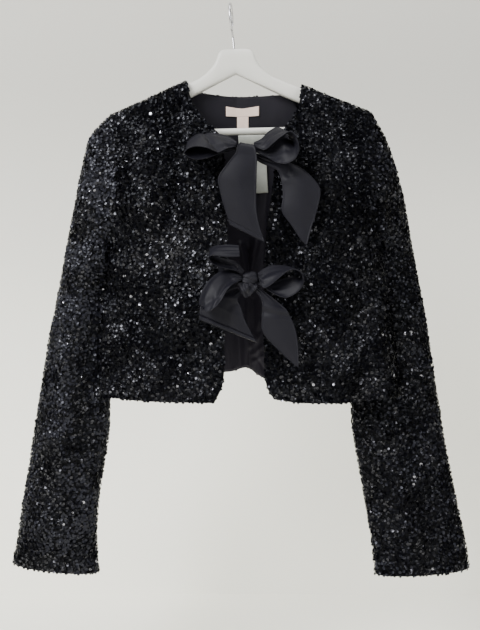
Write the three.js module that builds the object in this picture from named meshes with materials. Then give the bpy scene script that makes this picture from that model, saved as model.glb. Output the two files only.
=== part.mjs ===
import * as THREE from 'three';

// Cropped open-front jacket of sequinned cloth, closed by two ribbon bows and hung on a wooden
// hanger. Millimetres, +Z up, the front faces -Y. The origin is the inside top of the hook.
// Left and right are the wearer's: the wearer's right is at -X.

// Walls and gaps
const CLOTH_WALL = 1.8;
const LINING_WALL = 1.0;
const RIBBON_WALL = 1.0;
const LABEL_WALL = 0.7;
const SEAM_GAP = 0.36;
const ARMHOLE_GAP = 0.7;

// The hook holds the hanger this far to the side of the middle of its arms.
const HOOK_OFFSET = 6.8;

// Shoulder line: the hanger arms fall away from the neck and lean a little to one side.
const RIDGE_TOP = -72.7;
const SHOULDER_FALL = 0.4224;
const HANGER_LEAN = 0.0262;
const RIDGE_RADIUS = 12;

// Depth of the body in front of and behind its side seams
const FRONT_DEPTH = 47;
const BACK_DEPTH = 34;
const DEPTH_DROP = 135;
const SEAM_SET_BACK = 8;
const SEAM_DROP = 190;
// Below the ridge the cloth leaves the hanger here, and its sides begin to round off here.
const LEAVES_HANGER = 6;
const ROUNDING_START = 70;
const ROUNDING_SPAN = 90;
const FRONT_SQUARENESS = 2.3;
const BACK_FLATNESS = 0.75;

// Hanger
const ARM_HALF_THICKNESS = 5.5;
const BAR_RADIUS = 4.5;
const BAR_HEIGHT = -169.5;
const BAR_HALF_LENGTH = 160;
const BAR_SIDES = 16;
const ARM_SIDES = 12;
const ARM_SQUARENESS = 0.7;
const WIRE_RADIUS = 1.5;
const HOOK_INNER_RADIUS = 20;
const HOOK_FOOT = -57.5;
const HOOK_SHANK_SHARE = 0.14;
const HOOK_HALF_TURNS = 1.46;

// Soft folds fade in over this height, from a little above their upper end.
const FOLD_FADE = 60;
const FOLD_LEAD = 0.2;

// The head of a sleeve stands out from the armhole over its first rings.
const SLEEVE_HEAD_FULLNESS = 1.4;
const SLEEVE_HEAD_RINGS = 4;

const lerp = (a, b, t) => a + (b - a) * t;
const clamp01 = (t) => Math.min(1, Math.max(0, t));
const smooth = (t) => clamp01(t) * clamp01(t) * (3 - 2 * clamp01(t));

// Value of a table column at height z, for rows sorted from the top down.
function column(rows, z, key) {
  if (z >= rows[0].z) {
    return rows[0][key];
  }
  for (let i = 1; i < rows.length; i += 1) {
    if (z >= rows[i].z) {
      const t = (rows[i - 1].z - z) / (rows[i - 1].z - rows[i].z);
      return lerp(rows[i - 1][key], rows[i][key], t);
    }
  }
  return rows[rows.length - 1][key];
}

// Rows of numbers with named columns
function rowsOf(names, rows) {
  return rows.map((row) => Object.fromEntries(names.map((name, i) => [name, row[i]])));
}

// ---------------------------------------------------------------- body form

// middle: x of the middle of the body, half: half of its width between the side seams
const BODY = rowsOf(['z', 'middle', 'half'], [
  [-100, 9, 214],
  [-240, 11, 209],
  [-300, 12.5, 196],
  [-325, 13, 186],
  [-400, 15, 194],
  [-470, 17, 200],
  [-530, 17.4, 206.5],
]);

// Soft folds of the body: a line in the front view, half width and height out from the cloth
const FRONT_FOLDS = rowsOf(['x0', 'z0', 'x1', 'z1', 'wide', 'high'], [
  [-120, -190, -112, -522, 26, 4.5],
  [-66, -240, -58, -530, 20, -4],
  [-150, -300, -166, -522, 15, -4.5],
  [-30, -190, -100, -300, 22, -3.5],
  [72, -215, 88, -528, 22, -4],
  [128, -180, 132, -520, 26, 4.5],
  [176, -330, 205, -522, 16, 5],
  [160, -300, 170, -520, 14, -4],
  [60, -190, 120, -290, 20, -3],
]);
const BACK_FOLDS = rowsOf(['x0', 'z0', 'x1', 'z1', 'wide', 'high'], [
  [-110, -200, -120, -515, 24, 4],
  [-60, -260, -70, -510, 20, -3.5],
  [20, -180, 10, -500, 26, 4],
  [78, -250, 90, -510, 22, -3.5],
  [130, -210, 140, -515, 24, 3.5],
  [-10, -150, 40, -190, 16, -2.5],
]);

function foldHeight(folds, x, z) {
  let sum = 0;
  for (const f of folds) {
    const t = clamp01((z - f.z0) / (f.z1 - f.z0));
    const across = (x - lerp(f.x0, f.x1, t)) / f.wide;
    const along = smooth((f.z0 - z) / FOLD_FADE + FOLD_LEAD);
    sum += f.high * along * Math.exp(-across * across);
  }
  return sum;
}

const ridgeHeight = (x) => RIDGE_TOP - SHOULDER_FALL * Math.abs(x) + HANGER_LEAN * x;

// Distance from the side seams' depth: the cloth rounds over the hanger, then stands off it; it
// comes back to the side seam at its edge, which roundness (1 to 0) tells.
function bodyDepth(x, z, full, folds, roundness) {
  const drop = Math.max(0, ridgeHeight(x) - z);
  const past = Math.max(0, RIDGE_RADIUS - drop);
  const overHanger = Math.sqrt(RIDGE_RADIUS * RIDGE_RADIUS - past * past);
  const standOff = (full - RIDGE_RADIUS) * smooth((drop - LEAVES_HANGER) / DEPTH_DROP);
  const hangerShare = lerp(1, roundness, smooth((drop - ROUNDING_START) / ROUNDING_SPAN));
  return overHanger * hangerShare + (standOff + foldHeight(folds, x, z)) * roundness;
}

const seamDepth = (x, z) => SEAM_SET_BACK * smooth((ridgeHeight(x) - z) / SEAM_DROP);

function across(x, z) {
  return Math.min(1, Math.abs(x - column(BODY, z, 'middle')) / column(BODY, z, 'half'));
}

function frontY(x, z) {
  const edge = across(x, z);
  const round = Math.sqrt(1 - edge ** FRONT_SQUARENESS);
  return seamDepth(x, z) - bodyDepth(x, z, FRONT_DEPTH, FRONT_FOLDS, round);
}

function backY(x, z) {
  const edge = across(x, z);
  const round = (1 - edge * edge) ** BACK_FLATNESS;
  return seamDepth(x, z) + bodyDepth(x, z, BACK_DEPTH, BACK_FOLDS, round);
}

// ---------------------------------------------------------------- grids and walls

const smoothCurve = (points) => new THREE.CatmullRomCurve3(points, false, 'centripetal');
const curveThrough = (points) => smoothCurve(points.map(([x, z]) => new THREE.Vector3(x, 0, z)));

// A closed wall: the grid is its outer face and the same grid moved inward is its inner face.
// inwardAt may give the direction for a vertex on a seam; elsewhere it is square to the cloth.
function wallMesh(name, grid, options) {
  const { wall, closed = false, centred = false, inwardAt = () => null, toward = null } = options;
  const rows = grid.length;
  const cols = grid[0].length;
  const at = (i, j) => {
    const jj = closed ? (j + cols) % cols : Math.min(cols - 1, Math.max(0, j));
    return grid[Math.min(rows - 1, Math.max(0, i))][jj];
  };
  const normals = [];
  for (let i = 0; i < rows; i += 1) {
    for (let j = 0; j < cols; j += 1) {
      const du = at(i, j + 1).clone().sub(at(i, j - 1)).normalize();
      const dv = at(i + 1, j).clone().sub(at(i - 1, j)).normalize();
      const n = du.cross(dv).normalize();
      if (toward && n.dot(toward(i, j, at(i, j))) < 0) {
        n.negate();
      }
      normals.push(inwardAt(i, j) || n);
    }
  }
  const positions = [];
  const outerShift = centred ? -wall / 2 : 0;
  for (const shift of [outerShift, outerShift + wall]) {
    for (let i = 0; i < rows; i += 1) {
      for (let j = 0; j < cols; j += 1) {
        const p = at(i, j).clone().addScaledVector(normals[i * cols + j], shift);
        positions.push(p.x, p.y, p.z);
      }
    }
  }
  const count = rows * cols;
  const index = [];
  const quad = (a, b, c, d) => index.push(a, b, c, a, c, d);
  const lastCol = closed ? cols : cols - 1;
  for (let i = 0; i < rows - 1; i += 1) {
    for (let j = 0; j < lastCol; j += 1) {
      const a = i * cols + j;
      const b = i * cols + ((j + 1) % cols);
      quad(a, b, b + cols, a + cols);
      quad(count + a + cols, count + b + cols, count + b, count + a);
    }
  }
  for (let j = 0; j < lastCol; j += 1) {
    const k = (j + 1) % cols;
    const end = (rows - 1) * cols;
    quad(count + j, count + k, k, j);
    quad(end + j, end + k, count + end + k, count + end + j);
  }
  if (!closed) {
    for (let i = 0; i < rows - 1; i += 1) {
      const a = i * cols;
      const b = a + cols - 1;
      quad(a, a + cols, count + a + cols, count + a);
      quad(count + b, count + b + cols, b + cols, b);
    }
  }
  return solidMesh(name, positions, index);
}

function solidMesh(name, positions, index) {
  let volume = 0;
  const p = (k) => new THREE.Vector3(positions[3 * k], positions[3 * k + 1], positions[3 * k + 2]);
  for (let t = 0; t < index.length; t += 3) {
    volume += p(index[t]).dot(p(index[t + 1]).cross(p(index[t + 2])));
  }
  if (volume < 0) {
    for (let t = 0; t < index.length; t += 3) {
      [index[t + 1], index[t + 2]] = [index[t + 2], index[t + 1]];
    }
  }
  const geometry = new THREE.BufferGeometry();
  geometry.setAttribute('position', new THREE.Float32BufferAttribute(positions, 3));
  geometry.setIndex(index);
  geometry.computeVertexNormals();
  const mesh = new THREE.Mesh(geometry, new THREE.MeshStandardMaterial());
  mesh.name = name;
  return mesh;
}

// Four boundary lines in the front view blended into a grid of [x, z].
function blendedGrid({ left, right, top, bottom }, rowShares, colShares) {
  const mix = (a, b, t) => [lerp(a[0], b[0], t), lerp(a[1], b[1], t)];
  return rowShares.map((v) => colShares.map((u) => {
    const sides = mix(left(v), right(v), u);
    const ends = mix(top(u), bottom(u), smooth(v));
    const corners = mix(mix(top(0), top(1), u), mix(bottom(0), bottom(1), u), smooth(v));
    return [sides[0] + ends[0] - corners[0], sides[1] + ends[1] - corners[1]];
  }));
}

const alongCurve = (curve) => (t) => {
  const p = curve.getPoint(clamp01(t));
  return [p.x, p.z];
};
const straight = (a, b) => (t) => [lerp(a[0], b[0], t), lerp(a[1], b[1], t)];

// ---------------------------------------------------------------- outlines of the panels

// Rows of the body panels, as steps from the shoulder (0) by the underarm (4) to the hem (8)
const BODY_STEPS = [0, 0.12, 0.35, 0.7, 1, 1.5, 2, 2.5, 3, 3.5, 4, 4.6, 5.2, 5.8, 6.4, 7, 7.5, 8];
const UNDERARM_ROW = 10;
const HEM_STEP = 8;
const FRONT_COLUMNS = 12;
const BACK_COLUMNS = 28;

// Each side: neck edge and front edge (inner), armhole and side seam of front and back
const SIDES = {
  right: {
    sign: -1,
    tip: [-166, ridgeHeight(-166)],
    neckPoint: [-66, ridgeHeight(-66)],
    frontInner: [
      [-59.5, -129],
      [-40, -163],
      [-19, -187],
      [-15, -262],
      [-10, -333],
      [-15, -430],
      [-17, -506],
      [-28, -531],
    ],
    frontHem: [[-75, -531], [-130, -529]],
    frontArm: [[-160, -185], [-156, -236], [-160, -286], [-172, -325]],
    backArm: [[-163, -185], [-160, -236], [-163, -286], [-172, -325]],
    seam: [[-175, -375], [-179, -425], [-184, -475], [-189, -526]],
  },
  left: {
    sign: 1,
    tip: [180, ridgeHeight(180)],
    neckPoint: [88, ridgeHeight(88)],
    frontInner: [
      [84, -135],
      [74, -158],
      [60, -179],
      [46, -262],
      [38, -333],
      [37, -430],
      [39.5, -508],
      [49, -526],
    ],
    frontHem: [[85, -531.5], [150, -531]],
    frontArm: [[176, -182], [174, -234], [182, -285], [199, -325]],
    backArm: [[178, -182], [177, -234], [184, -285], [199, -325]],
    seam: [[204.5, -375], [212, -425], [217.5, -475], [223.5, -526]],
  },
};
const BACK_NECK = [[-60, -109], [-30, -115], [11, -117], [52, -116], [82, -113]];
const BACK_HEM = [[-150, -517], [-80, -504], [15, -497], [110, -504], [185, -517]];

// The back hem is drawn up at its middle and dips beside it: place, half width and height.
const HEM_WAVES = rowsOf(['x', 'wide', 'high'], [
  [14, 13, 6],
  [38, 13, -8],
]);
const hemWave = (x) => HEM_WAVES
  .map((wave) => wave.high * Math.exp(-(((x - wave.x) / wave.wide) ** 2)))
  .reduce((sum, high) => sum + high, 0);

const shareOf = (step) => step / HEM_STEP;
const evenShares = (count) => Array.from({ length: count + 1 }, (_, k) => k / count);
const towardSeam = (share) => Math.sin(share * Math.PI / 2) ** 0.9;
const towardBothSeams = (share) => lerp(share, (1 - Math.cos(share * Math.PI)) / 2, 0.8);

function middleOf(points) {
  const sum = new THREE.Vector3();
  points.forEach((p) => sum.add(p));
  return sum.divideScalar(points.length);
}

// The rim of an armhole leans to the middle of the hole, so that body and sleeve share it.
function armholeRim(loop, k) {
  const before = loop[(k + loop.length - 1) % loop.length];
  const after = loop[(k + 1) % loop.length];
  const tangent = after.clone().sub(before).normalize();
  const inward = new THREE.Vector3(0, -tangent.z, tangent.y).normalize();
  return inward.dot(middleOf(loop).sub(loop[k])) < 0 ? inward.negate() : inward;
}

// Points of one armhole: down the front from the shoulder, then up the back.
function armholeLoop(side) {
  const front = alongCurve(curveThrough([side.tip, ...side.frontArm]));
  const back = alongCurve(curveThrough([side.tip, ...side.backArm]));
  const steps = BODY_STEPS.slice(0, UNDERARM_ROW + 1);
  const down = steps.map((s) => front(s / steps[UNDERARM_ROW]));
  const up = steps.map((s) => back(s / steps[UNDERARM_ROW]));
  const onFront = down.map(([x, z]) => new THREE.Vector3(x, frontY(x, z), z));
  const onBack = up.map(([x, z]) => new THREE.Vector3(x, backY(x, z), z));
  return onFront.concat(onBack.slice(1, -1).reverse());
}

function sideLine(arm, side) {
  const arms = alongCurve(curveThrough([side.tip, ...arm]));
  const seams = alongCurve(curveThrough([arm[arm.length - 1], ...side.seam]));
  return (v) => (v <= 0.5 ? arms(v * 2) : seams(v * 2 - 1));
}

function frontPanel(name, side) {
  const inner = alongCurve(curveThrough([side.neckPoint, ...side.frontInner]));
  const outer = sideLine(side.frontArm, side);
  const lastInner = side.frontInner[side.frontInner.length - 1];
  const lastSeam = side.seam[side.seam.length - 1];
  const hem = alongCurve(curveThrough([lastInner, ...side.frontHem, lastSeam]));
  const shares = evenShares(FRONT_COLUMNS).map(towardSeam);
  const lines = { left: inner, right: outer, top: straight(side.neckPoint, side.tip), bottom: hem };
  const flat = blendedGrid(lines, BODY_STEPS.map(shareOf), shares);
  const last = shares.length - 1;
  const grid = flat.map((row, i) => row.map(([x, z], j) => {
    const onSeam = i === 0 || (j === last && i >= UNDERARM_ROW);
    return new THREE.Vector3(x, frontY(x, z) - (onSeam ? SEAM_GAP / 2 : 0), z);
  }));
  const loop = armholeLoop(side);
  const inwardAt = (i, j) => {
    if (j === last && i > 0 && i <= UNDERARM_ROW) {
      return armholeRim(loop, i);
    }
    if (i === 0) {
      return new THREE.Vector3(0, 0, -1);
    }
    return j === last ? new THREE.Vector3(-side.sign, 0, 0) : null;
  };
  const toward = () => new THREE.Vector3(0, 1, -0.2);
  return wallMesh(name, grid, { wall: CLOTH_WALL, inwardAt, toward });
}

function backGridFlat(rowShares, colShares) {
  const { right, left } = SIDES;
  const neck = alongCurve(curveThrough([right.neckPoint, ...BACK_NECK, left.neckPoint]));
  const span = left.tip[0] - right.tip[0];
  const neckStart = (right.neckPoint[0] - right.tip[0]) / span;
  const neckEnd = (left.neckPoint[0] - right.tip[0]) / span;
  const top = (u) => {
    if (u <= neckStart) {
      return straight(right.tip, right.neckPoint)(u / neckStart);
    }
    if (u >= neckEnd) {
      return straight(left.neckPoint, left.tip)((u - neckEnd) / (1 - neckEnd));
    }
    return neck((u - neckStart) / (neckEnd - neckStart));
  };
  const hem = alongCurve(curveThrough([right.seam[3], ...BACK_HEM, left.seam[3]]));
  const bottom = (u) => [hem(u)[0], hem(u)[1] + hemWave(hem(u)[0])];
  const sides = { left: sideLine(right.backArm, right), right: sideLine(left.backArm, left) };
  return blendedGrid({ ...sides, top, bottom }, rowShares, colShares);
}

function backPanel() {
  const { right, left } = SIDES;
  const shares = evenShares(BACK_COLUMNS).map(towardBothSeams);
  const flat = backGridFlat(BODY_STEPS.map(shareOf), shares);
  const last = shares.length - 1;
  const grid = flat.map((row, i) => row.map(([x, z], j) => {
    const onSeam = i === 0 || ((j === 0 || j === last) && i >= UNDERARM_ROW);
    return new THREE.Vector3(x, backY(x, z) + (onSeam ? SEAM_GAP / 2 : 0), z);
  }));
  const loops = { 0: armholeLoop(right), [last]: armholeLoop(left) };
  const inwardAt = (i, j) => {
    const onSide = j === 0 || j === last;
    if (onSide && i > 0 && i <= UNDERARM_ROW) {
      return armholeRim(loops[j], loops[j].length - i);
    }
    const topX = flat[0][j][0];
    const onShoulder = topX <= right.neckPoint[0] + 1 || topX >= left.neckPoint[0] - 1;
    if (i === 0 && onShoulder) {
      return new THREE.Vector3(0, 0, -1);
    }
    return onSide ? new THREE.Vector3(j === 0 ? 1 : -1, 0, 0) : null;
  };
  const toward = () => new THREE.Vector3(0, -1, -0.2);
  return wallMesh('back', grid, { wall: CLOTH_WALL, inwardAt, toward });
}

// ---------------------------------------------------------------- sleeves

// Cross-sections from the armhole to the cuff: outer edge, inner edge, half of the depth and
// the distance of its middle behind the shoulder
const SLEEVE_COLUMNS = ['outX', 'outZ', 'inX', 'inZ', 'half', 'back'];
const SLEEVES = {
  right: rowsOf(SLEEVE_COLUMNS, [
    [-185, -163, -174.6, -329, 24, 3],
    [-198, -181, -175, -333, 26, 5],
    [-207, -212, -175.5, -338, 28, 9],
    [-216, -250, -174, -346, 29, 15],
    [-226, -290, -171, -357, 30, 23],
    [-236, -330, -170, -373, 30, 31],
    [-245, -370, -171, -397, 29, 37],
    [-253, -408, -174, -424, 28, 39],
    [-262, -450, -180, -458, 27, 39],
    [-269, -495, -181, -499, 27, 39],
    [-276, -540, -179.5, -541, 27, 38],
    [-283, -585, -181, -585, 27, 37],
    [-289, -630, -187.5, -630, 26, 35],
    [-297, -675, -194, -676, 25, 34],
    [-303, -720, -197, -722, 23, 33],
    [-308, -747, -195, -755, 21, 32],
    [-311, -763, -193, -776, 20, 32],
  ]),
  left: rowsOf(SLEEVE_COLUMNS, [
    [193, -163, 201.8, -329, 23, 4],
    [205, -184, 203, -332, 25.5, 9.5],
    [217, -214, 202, -337, 27.5, 16.5],
    [229, -250, 198, -344, 27.5, 25],
    [239, -290, 193, -354, 27, 33.5],
    [248, -330, 190, -371, 25.5, 41],
    [257, -370, 190, -396, 24.5, 45.5],
    [265, -408, 184, -424, 23, 46],
    [272, -450, 177, -458, 21.5, 45.5],
    [278, -495, 170, -499, 21, 44.5],
    [285, -540, 164, -541, 20.5, 43],
    [291, -585, 167, -587, 20.5, 41],
    [299, -630, 175, -634, 20, 38.5],
    [308, -675, 183, -682, 20, 37.5],
    [317.5, -720, 191, -728, 19.5, 36.5],
    [323, -748, 195, -762, 19, 35.5],
    [326, -771, 196, -780, 19, 35],
  ]),
};

// Creases of the sleeves: clock angle in degrees (0 outer edge, 90 front), rows from and to,
// width in degrees and height
const CREASE_COLUMNS = ['angle', 'from', 'to', 'wide', 'high', 'turn'];
const SLEEVE_CREASES = {
  right: rowsOf(CREASE_COLUMNS, [
    [80, 6, 15, 22, 4, 12],
    [120, 4, 14, 16, -5, -6],
    [45, 5, 12, 16, -3.5, 10],
    [105, 1, 5, 24, -5, 20],
    [250, 4, 13, 20, -4, 10],
    [290, 6, 15, 18, 3, -8],
  ]),
  left: rowsOf(CREASE_COLUMNS, [
    [120, 7, 15, 18, 2.5, -10],
    [75, 5, 14, 16, -3, 8],
    [150, 9, 13, 14, -1.5, 0],
    [100, 1, 5, 22, -4, -16],
    [240, 5, 13, 20, -2.5, 10],
    [300, 7, 15, 18, 2, -8],
  ]),
};

function creaseHeight(creases, row, degrees) {
  let sum = 0;
  for (const c of creases) {
    const t = clamp01((row - c.from) / (c.to - c.from));
    const off = (degrees - c.angle - c.turn * t) / c.wide;
    sum += c.high * Math.sin(Math.PI * t) * Math.exp(-off * off);
  }
  return sum;
}

function sleeve(name, sideName) {
  const side = SIDES[sideName];
  const loop = armholeLoop(side);
  const half = UNDERARM_ROW;
  const steps = BODY_STEPS.slice(0, half + 1).map((s) => (s / BODY_STEPS[half]) * Math.PI);
  const angles = steps.concat(steps.slice(1, -1).reverse().map((a) => 2 * Math.PI - a));
  const rings = [loop.map((p) => p.clone().add(new THREE.Vector3(side.sign * ARMHOLE_GAP, 0, 0)))];
  const loopMiddle = (loop[0].x + loop[half].x) / 2;
  const bulge = loopMiddle - loop.reduce((sum, p) => sum + p.x, 0) / loop.length;
  SLEEVES[sideName].forEach((row, k) => {
    const fade = Math.max(0, 1 - (k + 1) / SLEEVE_HEAD_RINGS);
    rings.push(angles.map((angle) => {
      const out = Math.cos(angle);
      const front = Math.sin(angle);
      const degrees = THREE.MathUtils.radToDeg(angle);
      const depth = row.half + creaseHeight(SLEEVE_CREASES[sideName], k, degrees);
      const share = (1 + out) / 2;
      const x = lerp(row.inX, row.outX, share) - bulge * SLEEVE_HEAD_FULLNESS * fade * front * front;
      const z = lerp(row.inZ, row.outZ, share);
      return new THREE.Vector3(x, row.back - depth * front, z);
    }));
  });
  const centres = rings.map(middleOf);
  const inwardAt = (i, j) => (i === 0 ? armholeRim(loop, j) : null);
  const toward = (i, j, p) => centres[i].clone().sub(p);
  return wallMesh(name, rings, { wall: CLOTH_WALL, closed: true, inwardAt, toward });
}

// ---------------------------------------------------------------- lining and labels

const LINING_RIGHT_EDGE = [[-58, -113], [-84, -190], [-96, -300], [-98, -400], [-96, -500]];
const LINING_LEFT_EDGE = [[77, -120], [106, -190], [118, -300], [122, -400], [124, -501]];
const LINING_TOP = [[-58, -113], [-30, -117.5], [11, -119.5], [52, -119.5], [77, -120]];
const LINING_BOTTOM = [[-96, -500], [-30, -496], [15, -494.5], [60, -496], [124, -501]];
// Puckers where the lining is caught in the back hem
const PUCKERS = rowsOf(['x0', 'z0', 'x1', 'z1', 'wide', 'high'], [
  [-14, -380, -10, -496, 9, 4],
  [8, -400, 6, -496, 7, 5],
  [24, -370, 30, -496, 8, 4.5],
  [44, -395, 48, -496, 8, 3.5],
  [4, -230, 2, -360, 10, 3],
  [30, -240, 34, -380, 9, 3],
]);

// The lining hangs a little off the back, and close to it along the neck and the hem.
const LINING_OFF = 1.5;
const LINING_LOOSE = 1.3;
const LINING_HEM = -497;
const LINING_NECK = -119;
const LINING_FADE = 40;
const LINING_ROWS = 14;
const LINING_COLUMNS = 22;
function liningY(x, z) {
  const loose = smooth((LINING_NECK - z) / LINING_FADE) * smooth((z - LINING_HEM) / LINING_FADE);
  return backY(x, z) - CLOTH_WALL - LINING_OFF - LINING_LOOSE * loose - foldHeight(PUCKERS, x, z);
}

function liningBack() {
  const hem = alongCurve(curveThrough(LINING_BOTTOM));
  const lines = {
    left: alongCurve(curveThrough(LINING_RIGHT_EDGE)),
    right: alongCurve(curveThrough(LINING_LEFT_EDGE)),
    top: alongCurve(curveThrough(LINING_TOP)),
    bottom: (u) => [hem(u)[0], hem(u)[1] + hemWave(hem(u)[0])],
  };
  const grid = blendedGrid(lines, evenShares(LINING_ROWS), evenShares(LINING_COLUMNS))
    .map((row) => row.map(([x, z]) => new THREE.Vector3(x, liningY(x, z), z)));
  return wallMesh('lining_back', grid, { wall: LINING_WALL, toward: () => new THREE.Vector3(0, -1, 0) });
}

// A label lies on the lining. Its sides and ends in the front view, how far its foot swings
// aside (lean), its distance from the lining (lift) and how far its middle stands off (curl)
const LABEL_SHAPE = ['left', 'right', 'top', 'bottom', 'lean', 'lift', 'curl', 'cols', 'rows'];
const [NECK_LABEL, SIZE_TAB, CARE_LABEL] = rowsOf(LABEL_SHAPE, [
  [-13.8, 31.4, -131, -143.5, 0, 0.8, 0, 6, 2],
  [1.5, 17, -143.9, -163, 0, 0.8, 0, 2, 4],
  [3, 40, -168, -246, 5, 1.3, 1.5, 4, 8],
]);

function label(name, { left, right, top, bottom, lean, lift, curl, cols, rows }) {
  const grid = [];
  for (let i = 0; i <= rows; i += 1) {
    const line = [];
    for (let j = 0; j <= cols; j += 1) {
      const z = lerp(top, bottom, i / rows);
      const x = lerp(left, right, j / cols) + lean * (i / rows);
      const bow = curl * Math.sin((i / rows) * Math.PI);
      line.push(new THREE.Vector3(x, liningY(x, z) - LINING_WALL - lift - bow, z));
    }
    grid.push(line);
  }
  return wallMesh(name, grid, { wall: LABEL_WALL, toward: () => new THREE.Vector3(0, -1, 0) });
}

// ---------------------------------------------------------------- ribbons

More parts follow.
